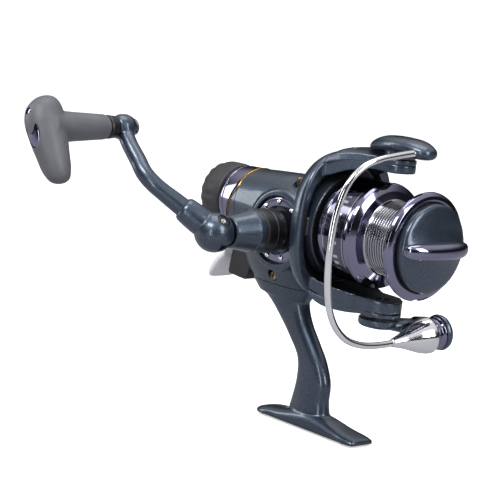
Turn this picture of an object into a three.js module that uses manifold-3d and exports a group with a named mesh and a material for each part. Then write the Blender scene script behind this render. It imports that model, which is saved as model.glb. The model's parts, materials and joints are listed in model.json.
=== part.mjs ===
// Spinning fishing reel with front and rear drag, folding crank and flip-over bail.
// Millimetres. +X runs forward along the spool axis, +Z up, and the crank is on the -Y side.
// The origin is the centre of the flat pad under the foot.
import * as THREE from 'three';
import { mergeVertices } from 'three/addons/utils/BufferGeometryUtils.js';
import { ParametricGeometry } from 'three/addons/geometries/ParametricGeometry.js';
import Module from 'manifold-3d';

const wasm = await Module();
wasm.setup();

// ---------------------------------------------------------------- driving dimensions
const AXIS_Z = 102; // height of the spool axis above the foot pad
const DRIVE_X = -22.6; // crank axis, which runs along Y below the spool axis
const DRIVE_Z = 94.8;
const GAP = 0.3; // clearance left between neighbouring solids

const FOOT_HALF_LENGTH = 33.9;
const FOOT_HALF_WIDTH = 8.3;
const FOOT_HEIGHT = 8;
const PAD_HALF = 12; // the flat pad under the foot reaches this far each way

const WALL = 2.1; // housing wall thickness
const SEAM_Y = -2; // the side cover is split from the housing on this plane
const SEAM_Z = 65.8; // lower edge of the side cover
const COVER_X = [-57, -7.4]; // rear and front edges of the side cover
const NOSE_R = 21.8; // round front of the housing, inside the rotor
const NOSE_X = [-5.6, 4.5];
const TRIM_X = -61.2; // gold trim line where it crosses the height of the spool axis
const TRIM_TILT = 0.3; // its lean, x per unit of z

const GEAR_TEETH = 36;
const PINION_TEETH = 7;
const MESH_X = -4.6; // middle of the tooth contact along the pinion
const PINION_PITCH = ((MESH_X - DRIVE_X) * PINION_TEETH) / GEAR_TEETH;
const PINION_ROOT = PINION_PITCH - 0.95;
const PINION_TIP = PINION_PITCH + 0.7;
const OSC_DRIVER_TEETH = 10;
const OSC_TEETH = 28;
const OSC_MODULE = 0.85;
const OSC_X = -38;
const OSC_Y = [5.6, 8.4]; // thickness of the oscillation gear and its driver
const STROKE = 12; // spool travel

const SHAFT_R = 1.9; // main shaft
const DRIVE_SHAFT_R = 3.2;
const BEARING_R = 7.5;

const DISC_R = 16.5; // trim disc round the crank shaft
const DISC_SEAT_Y = -16.5;

const KNOB_REAR = -85.7;
const KNOB_RIBS = 18;
const COLLAR_BORE = 9.6;

const RIM_X = 4.6; // front rim of the rotor between its arms
const PIVOT_X = 34; // bail pivot line, parallel to Z
const LIP_R = 26; // spool front lip
const SKIRT_R = 25.2;
const SKIRT_REAR_X = 10.4;
const POCKET_R = 19.3; // mouth of the pocket in the spool front
const WASHER_BORE_R = 15.4; // the deeper bore that holds the drag washers

const BALL_Y = -60; // crank knuckle
const BALL_R = 9.6;
const ARM_ANGLE = THREE.MathUtils.degToRad(138.7); // crank arm direction, from +X towards +Z
const ARM_BEND = { out: 31.5, y: -83.5 };
const ARM_END = { out: 63.9, y: -82 };
const GRIP_Y = -128; // middle of the T grip
const GRIP_LEAN = THREE.MathUtils.degToRad(28); // the T bar leans back from upright

const CONE_APEX = new THREE.Vector3(50.2, -7, 55.3);
const ROLLER_DIR = new THREE.Vector3(0.08, 0.988, 0.126).normalize();
const CONE_LENGTH = 23;
const ROLLER_WIDTH = 4.8;
const WIRE_R = 1.6;

const X = new THREE.Vector3(1, 0, 0);
const Y = new THREE.Vector3(0, 1, 0);
const Z = new THREE.Vector3(0, 0, 1);

// ---------------------------------------------------------------- colours
const SLATE = 0x4a5866;
const GUNMETAL = 0x77728c;
const SILVER = 0xc9ccd2;
const STEEL = 0x9aa0a8;
const BLACK = 0x141519;
const RUBBER = 0x3b3b3d;
const GREY = 0x5b5c60;
const GOLD = 0xc8862c;
const BRASS = 0xb08a45;
const FELT = 0x6d6152;
const NYLON = 0xd8d4c4;

// ---------------------------------------------------------------- solids
const at = (x, y, z) => new THREE.Vector3(x, y, z);
const onAxis = (x, y = 0, dz = 0) => at(x, y, AXIS_Z + dz);
const onDrive = (y) => at(DRIVE_X, y, DRIVE_Z);

function signedVolume(p, index) {
  const [a, b, c] = [at(0, 0, 0), at(0, 0, 0), at(0, 0, 0)];
  let sum = 0;
  for (let i = 0; i < index.length; i += 3) {
    a.fromArray(p, 3 * index[i]);
    b.fromArray(p, 3 * index[i + 1]);
    c.fromArray(p, 3 * index[i + 2]);
    sum += a.dot(b.cross(c));
  }
  return sum;
}

// A manifold from a three.js geometry: shared points merged, empty triangles dropped, faces outward.
function solid(geometry) {
  let g = geometry.clone();
  for (const name of ['normal', 'uv', 'color']) g.deleteAttribute(name);
  g = mergeVertices(g, 1e-4);
  const index = Array.from(g.index.array);
  const kept = [];
  for (let i = 0; i < index.length; i += 3) {
    const [a, b, c] = index.slice(i, i + 3);
    if (a !== b && b !== c && a !== c) kept.push(a, b, c);
  }
  const vertProperties = new Float32Array(g.attributes.position.array);
  if (signedVolume(vertProperties, kept) < 0) kept.reverse();
  return new wasm.Manifold(new wasm.Mesh({ numProp: 3, vertProperties, triVerts: new Uint32Array(kept) }));
}

function geometryOf(shape) {
  const mesh = shape.getMesh();
  const points = new Float32Array((mesh.vertProperties.length / mesh.numProp) * 3);
  for (let i = 0; i < points.length / 3; i += 1) {
    for (let k = 0; k < 3; k += 1) points[3 * i + k] = mesh.vertProperties[mesh.numProp * i + k];
  }
  const g = new THREE.BufferGeometry();
  g.setAttribute('position', new THREE.BufferAttribute(points, 3));
  g.setIndex(new THREE.BufferAttribute(new Uint32Array(mesh.triVerts), 1));
  return g;
}

const union = (...shapes) => shapes.reduce((a, b) => a.add(b));
const cut = (shape, ...tools) => tools.reduce((a, b) => a.subtract(b), shape);

// Stands a geometry made about the Y axis along another direction.
function turned(geometry, along, origin) {
  geometry.applyQuaternion(new THREE.Quaternion().setFromUnitVectors(Y, along.clone().normalize()));
  geometry.translate(origin.x, origin.y, origin.z);
  return solid(geometry);
}

// A turned piece: profile is [distance along the axis, radius] from one end to the other.
// A ring's profile closes on itself; a plain one is closed down to the axis.
function revolve(profile, { along = X, origin = onAxis(0), ring = false, sides = 20 } = {}) {
  const points = profile.map(([a, r]) => new THREE.Vector2(r, a));
  if (ring) {
    points.push(points[0].clone());
  } else {
    points.unshift(new THREE.Vector2(0, profile[0][0]));
    points.push(new THREE.Vector2(0, profile[profile.length - 1][0]));
  }
  return turned(new THREE.LatheGeometry(points, sides), along, origin);
}

function rod(from, to, radius, sides = 12) {
  const along = to.clone().sub(from);
  return revolve([[0, radius], [along.length(), radius]], { along, origin: from, sides });
}

function washer(lo, hi, inner, outer, options = {}) {
  return revolve([[lo, inner], [lo, outer], [hi, outer], [hi, inner]], { ring: true, ...options });
}

function box(lo, hi) {
  const size = hi.map((v, i) => v - lo[i]);
  const g = new THREE.BoxGeometry(...size);
  g.translate(...lo.map((v, i) => v + size[i] / 2));
  return solid(g);
}

// A skinned piece: each section is an oval with its centre c and two half-axis vectors u and v.
// square below 1 makes the ovals boxier.
function loft(sections, sides = 24, square = 1) {
  const rows = [sections[0], ...sections, sections[sections.length - 1]];
  const last = rows.length - 1;
  const power = (value) => Math.sign(value) * Math.abs(value) ** square;
  const surface = (across, along, target) => {
    const row = Math.round(along * last);
    const { c, u, v } = rows[row];
    const angle = (2 * Math.PI * (Math.round(across * sides) % sides)) / sides;
    const size = row === 0 || row === last ? 0 : 1;
    const [p, q] = [size * power(Math.cos(angle)), size * power(Math.sin(angle))];
    target.set(...[0, 1, 2].map((k) => c[k] + p * u[k] + q * v[k]));
  };
  return solid(new ParametricGeometry(surface, sides, last));
}

function extrude(shape, depth) {
  return new THREE.ExtrudeGeometry(shape, { depth, bevelEnabled: false, curveSegments: 9 });
}

const polygon = (points) => new THREE.Shape(points.map(([a, b]) => new THREE.Vector2(a, b)));

// An outline in X and Z, from one Y to another.
function sidePlate(shape, yLow, yHigh) {
  const g = extrude(shape, yHigh - yLow);
  g.rotateX(Math.PI / 2);
  g.translate(0, yHigh, 0);
  return solid(g);
}

// An outline in X and Y, from one Z to another.
function topPlate(shape, zLow, zHigh) {
  const g = extrude(shape, zHigh - zLow);
  g.translate(0, 0, zLow);
  return solid(g);
}

// An outline in Y and Z about the spool axis, from one X to another.
function frontGeometry(shape, xLow, xHigh) {
  const g = extrude(shape, xHigh - xLow);
  g.applyMatrix4(new THREE.Matrix4().makeBasis(Y, Z, X));
  g.translate(xLow, 0, AXIS_Z);
  return g;
}

function tube(points, radius, steps, sides = 10) {
  const path = new THREE.CatmullRomCurve3(points, false, 'centripetal');
  const ring = polygon(Array.from({ length: sides }, (_, i) => [
    radius * Math.cos((2 * Math.PI * i) / sides), radius * Math.sin((2 * Math.PI * i) / sides),
  ]));
  return solid(new THREE.ExtrudeGeometry(ring, { extrudePath: path, steps, bevelEnabled: false }));
}

// A coil spring: a helix along X.
function spring(x0, x1, coilR, wireR, turns, centre) {
  const STEPS_PER_TURN = 7;
  const steps = turns * STEPS_PER_TURN;
  const points = Array.from({ length: steps + 1 }, (_, i) => {
    const angle = (2 * Math.PI * i) / STEPS_PER_TURN;
    const x = x0 + ((x1 - x0) * i) / steps;
    return at(x, centre.y + coilR * Math.cos(angle), centre.z + coilR * Math.sin(angle));
  });
  return tube(points, wireR, steps, 4);
}

// A toothed wheel's outline about the origin, with a tooth at the phase angle.
function gearShape(teeth, root, tip, toothShare, phase) {
  const pitch = (2 * Math.PI) / teeth;
  const corners = [[root, -1.25], [tip, -0.6], [tip, 0.6], [root, 1.25]];
  const points = [];
  for (let i = 0; i < teeth; i += 1) {
    for (const [radius, share] of corners) {
      const angle = phase + i * pitch + (share * toothShare * pitch) / 2;
      points.push([radius * Math.cos(angle), radius * Math.sin(angle)]);
    }
  }
  return polygon(points);
}

const reel = new THREE.Group();

function part(name, shape, color, roughness = 0.4, metalness = 0.3) {
  const material = new THREE.MeshStandardMaterial({ color, roughness, metalness });
  const mesh = new THREE.Mesh(geometryOf(shape), material);
  mesh.name = name;
  reel.add(mesh);
}

// ---------------------------------------------------------------- housing, stem and foot
// Level ovals, each row giving height, rear edge, front edge and half width.
function levelSections(rows, inset = 0) {
  return rows.map(([z, rear, front, half]) => ({
    c: [(rear + front) / 2, 0, z], u: [(front - rear) / 2 - inset, 0, 0], v: [0, half - inset, 0],
  }));
}

const BARREL = [[-68, 15.4], [-58, 16.6], [-44, 18], [-30, 19.2], [-10, 19.9], [NOSE_X[0], 19.9]];
const barrelOuter = revolve([...BARREL, [NOSE_X[0], NOSE_R], [NOSE_X[1], NOSE_R]], { sides: 28 });
const boreRows = [...BARREL.slice(1), [NOSE_X[0], NOSE_R], [-1.2, NOSE_R]];
const barrelInner = revolve(boreRows.map(([x, r]) => [x, r - WALL]), { sides: 28 });

const GEARBOX = [
  [60, -46, -14, 7.4], [66, -52, -10.5, 9], [72, -55.5, -7, 12.4], [80, -57.5, -3.5, 15.4],
  [88, -58, 0.8, 16.5], [97, -57, 1, 16.5], [106, -54, -0.5, 15.6], [113, -49, -5, 12.6], [118, -44, -10, 8],
];
const CAVITY_FLOOR = 72.6;
const CAVITY_TOP = 116;
const gearboxOuter = loft(levelSections(GEARBOX), 20, 0.82);
const gearboxInner = loft(levelSections(GEARBOX, WALL), 20, 0.82)
  .intersect(box([-80, -40, CAVITY_FLOOR], [20, 40, CAVITY_TOP]));

// Everything behind the leaning plane of the gold trim line, moved by offset along X.
function behindTrim(offset) {
  const g = new THREE.BoxGeometry(100, 80, 80);
  g.translate(-50, 0, 0);
  g.rotateY(-Math.atan(TRIM_TILT));
  g.translate(TRIM_X + offset, 0, AXIS_Z);
  return solid(g);
}

const aroundNose = (radius) => washer(NOSE_X[0], 30, radius, 60);
const driveRod = (y0, y1, radius, sides = 20) => rod(onDrive(y0), onDrive(y1), radius, sides);
const shellOuter = cut(
  union(barrelOuter, gearboxOuter.subtract(aroundNose(NOSE_R))),
  behindTrim(0.4),
  driveRod(-30, DISC_SEAT_Y, DISC_R + 0.4, 28),
);
const cavity = cut(union(barrelInner, gearboxInner.subtract(aroundNose(NOSE_R - 1.4))), behindTrim(3));
const coverSpace = (grow) => box(
  [COVER_X[0] - grow, -60, SEAM_Z - grow],
  [COVER_X[1] + grow, SEAM_Y + grow, 140],
);

const OSC_REACH = (OSC_MODULE * (OSC_DRIVER_TEETH + OSC_TEETH)) / 2;
const OSC_Z = DRIVE_Z - Math.sqrt(OSC_REACH ** 2 - (OSC_X - DRIVE_X) ** 2);
const onOsc = (y) => at(OSC_X, y, OSC_Z);
const OSC_STUD_R = 1.8;
const GUIDE = { y: 1, z: 109.5, r: 1.3 };

// The side cover screws: where each head's outer face is.
const SCREWS = { cover_screw_upper: at(-19.5, -10.4, 118.8), cover_screw_lower: at(-29.5, -10.6, 70.4) };
const SCREW_R = 1.3;
const SCREW_HEAD_R = 2.5;
const inward = (point, depth) => point.clone().setY(point.y + depth);
const screwHole = (head) => union(rod(inward(head, -8), inward(head, 2.5), SCREW_HEAD_R + GAP),
  rod(inward(head, -8), head.clone().setY(1.1), SCREW_R + GAP, 12));

function stem() {
  return loft(levelSections([
    [3, -17, 9, 6.4], [8, -16, 8, 6], [13, -15, 7, 5.5], [23, -13.7, 6.7, 5.1], [32.5, -14.8, 2.4, 5],
    [41, -21.6, -4, 5], [49.4, -29.8, -10.6, 5.3], [57.8, -39.6, -14.4, 6.2], [62, -46, -14.6, 7.4],
    [67, -48, -14, 8],
  ]), 16, 0.85);
}

function foot() {
  // share of the half length, ridge height, half width
  const toeToMiddle = [
    [1, 2.4, 5.6], [0.97, 2.8, 7.6], [0.92, 3.2, FOOT_HALF_WIDTH], [0.6, 4.9, FOOT_HALF_WIDTH],
    [0.2, FOOT_HEIGHT - 0.6, FOOT_HALF_WIDTH], [0, FOOT_HEIGHT, FOOT_HALF_WIDTH],
  ];
  const mirrored = toeToMiddle.slice(0, -1).reverse().map(([share, ridge, half]) => [-share, ridge, half]);
  const sections = [...toeToMiddle, ...mirrored].map(([share, ridge, half]) => ({
    c: [share * FOOT_HALF_LENGTH, 0, 0], u: [0, half, 0], v: [0, 0, ridge],
  }));
  const domed = loft(sections, 16, 0.7).intersect(box([-50, -20, 0], [50, 20, 40]));
  const GROOVE_R = 12; // a rod blank lies in these shallow channels
  const GROOVE_DROP = 11.1;
  const groove = (x0, x1) => rod(at(x0, 0, -GROOVE_DROP), at(x1, 0, -GROOVE_DROP), GROOVE_R, 24);
  return cut(domed, groove(PAD_HALF, 50), groove(-50, -PAD_HALF));
}

function housing() {
  const farBoss = driveRod(12.2, 15.6, BEARING_R + 2.4);
  const stud = rod(onOsc(OSC_Y[1] + GAP), onOsc(14.6), 3.4)
    .add(rod(onOsc(OSC_Y[0] + 0.2), onOsc(14.6), OSC_STUD_R));
  const lug = box([-27.5, -1.4, 106.5], [-24, 18, 112.5]).intersect(shellOuter);
  return cut(
    union(cut(union(shellOuter, stem()), cavity, coverSpace(0)), farBoss, stud, lug, foot()),
    rod(onAxis(-3), onAxis(1.7), 9.3, 20),
    rod(onAxis(1.6), onAxis(10), 11.3, 20),
    driveRod(17, 30, 8.6),
    rod(onAxis(-70), onAxis(-50), SHAFT_R + GAP),
    driveRod(12, 15.9, BEARING_R + 0.1),
    driveRod(12, 30, 4.4),
    rod(at(-60, GUIDE.y, GUIDE.z), at(-20, GUIDE.y, GUIDE.z), GUIDE.r + GAP, 12),
    ...Object.values(SCREWS).map(screwHole),
  );
}

function cover() {
  const seat = driveRod(DISC_SEAT_Y, -13.6, DISC_R + 1.6, 28);
  const boss = driveRod(-16, -12.2, BEARING_R + 2.4);
  return cut(
    union(cut(shellOuter, cavity), seat, boss).intersect(coverSpace(-GAP)),
    driveRod(-15.9, -12, BEARING_R + 0.1),
    driveRod(-30, -12, 4.4),
    ...Object.values(SCREWS).map(screwHole),
  );
}

function coverScrew(head) {
  const slot = box([head.x - 0.4, head.y - 1, head.z - 3], [head.x + 0.4, head.y + 0.7, head.z + 3]);
  const shank = rod(head, head.clone().setY(0.8), SCREW_R, 12);
  return union(rod(head, inward(head, 2.2), SCREW_HEAD_R), shank).subtract(slot);
}

part('body_housing', housing(), SLATE);
part('side_cover', cover(), SLATE);
for (const [name, head] of Object.entries(SCREWS)) part(name, coverScrew(head), BRASS, 0.3, 0.9);

const aboutDrive = { along: Y, origin: onDrive(0) };
part('side_trim_disc', revolve([[-18.9, 11.6], [-18.9, 15.4], [-18, DISC_R], [-16.8, DISC_R], [-16.8, 11.6]],
  { ...aboutDrive, ring: true, sides: 28 }), GUNMETAL, 0.15, 1);
part('far_side_cap', revolve([[17.2, 8.2], [18.8, 8.2], [20.2, 7], [21, 4]], aboutDrive), GUNMETAL, 0.2, 1);
part('guide_rod', rod(at(-59.6, GUIDE.y, GUIDE.z), at(-24.4, GUIDE.y, GUIDE.z), GUIDE.r, 12), STEEL, 0.3, 1);

// ---------------------------------------------------------------- rear drag
part('rear_collar', revolve([
  [-69.6, COLLAR_BORE], [-69.6, 15.4], [-68, 16.2], [-54, 16.9], [-54, 14.2], [-62.6, 14.2], [-64, COLLAR_BORE],
], { ring: true }).intersect(behindTrim(-0.7)), GUNMETAL, 0.12, 1);
part('gold_trim', revolve([[-70, 13], [-70, 16.1], [-54, 17.2], [-54, 13]], { ring: true })
  .intersect(cut(behindTrim(0.15), behindTrim(-0.45))), GOLD, 0.25, 1);

function rearKnob() {
  const body = revolve([
    [KNOB_REAR, 12.8], [-84.6, 14.6], [-81, 16], [-75, 16.5], [-71.2, 16.2], [-70.2, 15.6],
  ], { sides: 24 });
  const boss = rod(onAxis(-72), onAxis(-64.2), COLLAR_BORE - GAP, 16);
  const SCALLOP_REACH = 17.6;
  const scallops = Array.from({ length: KNOB_RIBS }, (_, i) => {
    const angle = (2 * Math.PI * (i + 0.5)) / KNOB_RIBS;
    const line = (x) => onAxis(x, SCALLOP_REACH * Math.sin(angle), SCALLOP_REACH * Math.cos(angle));
    return rod(line(-88), line(-73), 1.7, 4);
  });
  return cut(body.add(boss), rod(onAxis(-70), onAxis(-50), 6, 20), ...scallops);
}
part('rear_drag_knob', rearKnob(), RUBBER, 0.8, 0);
part('rear_drag_spring', spring(-69, -66.4, 4.2, 0.5, 2, onAxis(0)), STEEL, 0.3, 1);
part('rear_drag_washer', rod(onAxis(-65.6), onAxis(-64.4), 5.6, 20), FELT, 0.9, 0);

// ---------------------------------------------------------------- lever under the rear of the body
const LEVER_PIVOT = at(-60.5, 0, 75);
const SHROUD_HALF = 6.5;
const leverRod = (half, radius) => rod(inward(LEVER_PIVOT, -half), inward(LEVER_PIVOT, half), radius, 12);
const clearOfBody = cut(union(
  loft(levelSections(GEARBOX, -GAP), 20, 0.82),
  revolve([[-72, 16.7], [-50, 17.6], [-30, 19.6]]),
), box([-80, -40, 40], [-20, 40, 62]));

function leverShroud() {
  const outline = polygon([[-66.5, 63.4], [-52, 63.4], [-52, 80], [-58, 86], [-63, 84], [-65, 76]]);
  return cut(sidePlate(outline, -SHROUD_HALF, SHROUD_HALF), clearOfBody, box([-70, -3, 66.4], [-57.2, 3, 90]),
    leverRod(9, 1.5));
}

function dragLever() {
  const LEAN = THREE.MathUtils.degToRad(42);
  // middle of the blade, half thickness, half width
  const blade = [
    [-63, 77.4, 1.6, 8.6], [-66, 75.2, 2, 9.2], [-71, 70.6, 2.2, 9.8], [-75.6, 65, 2.1, 9.6],
    [-78.8, 59.9, 1.4, 8.4],
  ];
  const sections = blade.map(([x, z, thick, half]) => ({
    c: [x, 0, z], u: [0, half, 0], v: [thick * Math.sin(-LEAN), 0, thick * Math.cos(LEAN)],
  }));
  const cheekSpaces = [box([-69, 2.7, 60], [-50, 12, 90]), box([-69, -12, 60], [-50, -2.7, 90])];
  const tongue = leverRod(2.5, 3).add(box([-69.6, -2.5, 72.6], [-60.5, 2.5, 76.4]));
  const strap = cut(loft(sections, 14, 0.6), ...cheekSpaces);
  return cut(strap.add(tongue), leverRod(4, 1.5), clearOfBody);
}
part('lever_shroud', leverShroud(), BLACK, 0.6, 0);
part('drag_lever', dragLever(), 0xc4c6c8, 0.35, 0.2);
part('lever_pin', leverRod(SHROUD_HALF, 1.2), STEEL, 0.3, 1);

// ---------------------------------------------------------------- drive train
const driveBearing = (y0, y1) => washer(y0, y1, DRIVE_SHAFT_R + GAP, BEARING_R - 0.2, aboutDrive);
part('drive_bearing_near', driveBearing(-15.6, -12.6), STEEL, 0.25, 1);
part('drive_bearing_far', driveBearing(12.6, 15.6), STEEL, 0.25, 1);
part('pinion_bearing', washer(-0.9, 1.4, 4.8, 9), STEEL, 0.25, 1);
part('one_way_clutch', washer(1.9, 4.3, 4.9, 11), STEEL, 0.35, 0.9);

function driveGear() {
  const face = -(PINION_TIP + GAP);
  const tip = -(PINION_ROOT + 0.2);
  const RIM = 19.9;
  const HUB = -11.6;
  const plate = revolve([
    [HUB, 8], [face - 2.8, 9.6], [face - 2.2, RIM], [face, RIM], [face, 15], [face - 0.7, 13],
  ], { ...aboutDrive, sides: 36 });
  // The teeth lie along the pinion where they meet it, so each is tangent to the offset circle.
  const tooth = frontGeometry(polygon([[face - 0.3, -0.75], [tip, -0.32], [tip, 0.32], [face - 0.3, 0.75]]),
    MESH_X - 1.5, MESH_X + 1.5);
  tooth.translate(-DRIVE_X, 0, -DRIVE_Z);
  const teeth = Array.from({ length: GEAR_TEETH }, (_, i) => {
    const g = tooth.clone();
    g.rotateY((2 * Math.PI * i) / GEAR_TEETH);
    g.translate(DRIVE_X, 0, DRIVE_Z);
    return solid(g);
  });
  return union(plate, ...teeth).subtract(driveRod(-20, 0, DRIVE_SHAFT_R + GAP));
}
part('drive_gear', driveGear(), BRASS, 0.35, 1);

// A spur wheel of the oscillation train. The outline is mirrored in Z, so the phase is too.
function spurWheel(teeth, centre, phase) {
  const pitchR = (OSC_MODULE * teeth) / 2;
  const outline = gearShape(teeth, pitchR - OSC_MODULE, pitchR + 0.75 * OSC_MODULE, 0.36, -phase);
  const g = extrude(outline, OSC_Y[1] - OSC_Y[0]);
  g.rotateX(-Math.PI / 2);
  g.translate(centre.x, OSC_Y[0], centre.z);
  return solid(g);
}
const OSC_LINE = Math.atan2(OSC_Z - DRIVE_Z, OSC_X - DRIVE_X); // from the driver's centre to the wheel's
part('drive_shaft', driveRod(-17, 16.9, DRIVE_SHAFT_R, 12)
  .add(spurWheel(OSC_DRIVER_TEETH, onDrive(0), OSC_LINE)), STEEL, 0.3, 1);

function oscillationGear() {
  const wheel = spurWheel(OSC_TEETH, onOsc(0), OSC_LINE + Math.PI + Math.PI / OSC_TEETH);
  const pin = (y) => onOsc(y).add(at(-STROKE / 2, 0, 0));
  return cut(wheel.add(rod(pin(4.9), pin(6.4), 1.4)), rod(onOsc(0), onOsc(20), OSC_STUD_R + GAP));
}
part('oscillation_gear', oscillationGear(), NYLON, 0.6, 0);

function pinion() {
  const phase = Math.PI + Math.PI / PINION_TEETH; // a space faces the drive gear
  const outline = gearShape(PINION_TEETH, PINION_ROOT, PINION_TIP, 0.36, phase);
  const sleeve = rod(onAxis(-1.6), onAxis(12.4), 4.4, 16);
  const teeth = solid(frontGeometry(outline, -7.4, -1.4));
  return cut(teeth.add(sleeve), rod(onAxis(-20), onAxis(20), SHAFT_R + 0.15));
}
part('pinion_gear', pinion(), BRASS, 0.3, 1);

// ---------------------------------------------------------------- main shaft and slider
const SLIDER_X = OSC_X - STROKE / 2;
function slider() {
  const outline = polygon([[-4, 80], [4, 80], [4, 112.4], [-4, 112.4]].map(([x, z]) => [SLIDER_X + x, z]));
  const slotHalf = 1.8;
  const slotEnd = STROKE / 2 + 1.8;
  return cut(
    sidePlate(outline, -2.3, 4.4),
    box([SLIDER_X - slotHalf, 1.4, OSC_Z - slotEnd], [SLIDER_X + slotHalf, 6, OSC_Z + slotEnd]),
    rod(onAxis(-70), onAxis(-30), SHAFT_R + 0.15),
    rod(at(-70, GUIDE.y, GUIDE.z), at(-30, GUIDE.y, GUIDE.z), GUIDE.r + GAP, 12),
  );
}
part('main_shaft', rod(onAxis(-59.4), onAxis(60.6), SHAFT_R, 14), STEEL, 0.2, 1);
part('slider_block', slider(), NYLON, 0.6, 0);
part('spool_rest_bush', washer(21.5, 25.6, SHAFT_R + 0.15, 5), NYLON, 0.6, 0);

// ---------------------------------------------------------------- spool
function spool() {
  return revolve([
    [26, 2.2], [26, 6.4], [30.2, 8], [30.2, 21.4], [29, 23.4], [SKIRT_REAR_X, 23.4], [SKIRT_REAR_X, 24.7],
    [11.4, SKIRT_R], [28.6, SKIRT_R], [30, 25.6], [31.6, 25.4], [33.4, 22], [34.2, 17.8], [51.6, 18.2],
    [52.4, 21.6], [53.6, 25.2], [55, LIP_R], [56.6, 25.6], [57.8, 23.6], [57.8, POCKET_R], [53, POCKET_R],
    [53, WASHER_BORE_R], [42, WASHER_BORE_R], [42, 2.2],
  ], { ring: true, sides: 28 });
}
part('spool', spool(), GUNMETAL, 0.12, 1);
part('front_felt_washer', washer(42.3, 43.6, 3, WASHER_BORE_R - 0.8), FELT, 0.9, 0);
part('front_metal_washer', washer(43.9, 44.9, 3, WASHER_BORE_R - 0.6), STEEL, 0.25, 1);
part('washer_retainer', cut(
  washer(45.4, 46.4, WASHER_BORE_R - 2, WASHER_BORE_R - 0.4),
  box([40, -1.6, 110], [50, 1.6, 130]),
), STEEL, 0.3, 1);

// ---------------------------------------------------------------- front drag knob
function frontKnob() {
  const disc = revolve([
    [47.6, WASHER_BORE_R - 1], [53.4, WASHER_BORE_R - 1], [53.4, POCKET_R - 0.9], [58.2, POCKET_R - 0.9],
    [58.2, 21.2], [61.2, 21.2], [62.4, 20.2], [63.4, 14], [63.9, 6],
  ], { sides: 28 });
  const shaftBore = rod(onAxis(40), onAxis(61), SHAFT_R + GAP);
  return cut(disc, shaftBore, rod(onAxis(40), onAxis(53), 8, 24), knobBar(GAP));
}
function knobBar(grow) {
  // across the disc, height above the axis plane at the front, half height
  const rows = [
    [-20.4, 63.4, 1.2], [-19.4, 66, 3.2], [-14, 69, 4], [0, 71, 4.3], [14, 69, 4], [19.4, 66, 3.2],
    [20.4, 63.4, 1.2],
  ];
  const sections = rows.map(([y, front, half]) => ({
    c: [60.8, y, AXIS_Z], u: [front - 60.8 + grow, 0, 0], v: [0, 0, half + grow],
  }));
  return loft(sections, 16).intersect(box([61.3 - grow, -30, 80], [80, 30, 120]));
}
part('front_drag_knob', frontKnob(), SLATE, 0.4, 0.4);
part('front_knob_bar', knobBar(0), GUNMETAL, 0.12, 1);
part('front_knob_spring', spring(47.4, 52, 5.2, 0.6, 3, onAxis(0)), STEEL, 0.3, 1);

// ---------------------------------------------------------------- rotor
// Ovals about the spool axis, each row giving x, half width across and half height.
const hoop = (rows, sides = 24, square = 0.75) => loft(rows.map(([x, wide, high]) => ({
  c: [x, 0, AXIS_Z], u: [0, wide, 0], v: [0, 0, high],
})), sides, square);
const CLEAR_OF_SPOOL = 26.8; // half width of the space the spool skirt moves in
const SEAT_HIGH = 35.3; // the arms are this high under their covers

// The outline of an arm from above: wide at the cup, with a round end about the pivot.
function armOutline(endR, flare, rear) {
  const shape = new THREE.Shape();
  shape.moveTo(rear, -18 - flare);
  shape.quadraticCurveTo(14, -13 - flare / 2, PIVOT_X - 8, -endR);
  shape.lineTo(PIVOT_X, -endR);
  shape.absarc(PIVOT_X, 0, endR, -Math.PI / 2, Math.PI / 2);
  shape.lineTo(PIVOT_X - 8, endR);
  shape.quadraticCurveTo(14, 13 + flare / 2, rear, 18 + flare);
  return shape;
}

const LOWER_END_R = 10;
const UPPER_END_R = 8;
const PIVOT_SCREW_R = 2;
const pivotRod = (z0, z1, radius, sides = 20) => rod(at(PIVOT_X, 0, z0), at(PIVOT_X, 0, z1), radius, sides);
const SPRING_LINE = { y: -3.4, z: AXIS_Z - 33.6 };
const TRIP_LINE = { y: 3.4, z: AXIS_Z - 33.6 };
const lineRod = (line, x0, x1, radius) => rod(at(x0, line.y, line.z), at(x1, line.y, line.z), radius, 12);

function rotor() {
  const cup = hoop([
    [-4.9, 25.6, 26.8], [-4.2, 28, 30.6], [-2.4, 30, 34], [0.4, 30.7, 35.6], [RIM_X, 30.7, 36],
  ]);
  const hub = rod(onAxis(-2), onAxis(8), 26, 28);
  const channel = hoop([[-0.6, CLEAR_OF_SPOOL, 29.6], [20, CLEAR_OF_SPOOL, 29.6]]).subtract(hub);
  const armBar = hoop([[1, 30.4, 34], [RIM_X, 30.7, SEAT_HIGH], [46, 30.7, SEAT_HIGH]]);
  const upper = armBar
    .intersect(topPlate(armOutline(UPPER_END_R, 4, 1), AXIS_Z, AXIS_Z + 60))
    .subtract(hoop([[0, CLEAR_OF_SPOOL, 29.6], [18, CLEAR_OF_SPOOL, 31.4], [48, CLEAR_OF_SPOOL, 31.4]]));
  const lower = armBar
    .intersect(topPlate(armOutline(LOWER_END_R, 4, 1), AXIS_Z - 60, AXIS_Z))
    .subtract(hoop([[0, CLEAR_OF_SPOOL, 29.6], [48, CLEAR_OF_SPOOL, 29.6]]));
  const pocket = box([9, -5.6, SPRING_LINE.z - 6], [25, 5.6, SPRING_LINE.z + 2]);
  return cut(
    union(cut(cup, channel), hub, upper, lower),
    rod(onAxis(-10), onAxis(5), 22.8, 28),
    rod(onAxis(0), onAxis(10), 4.7, 20),
    pivotRod(40, 160, PIVOT_SCREW_R + GAP),
    pocket,
  );
}

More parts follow.
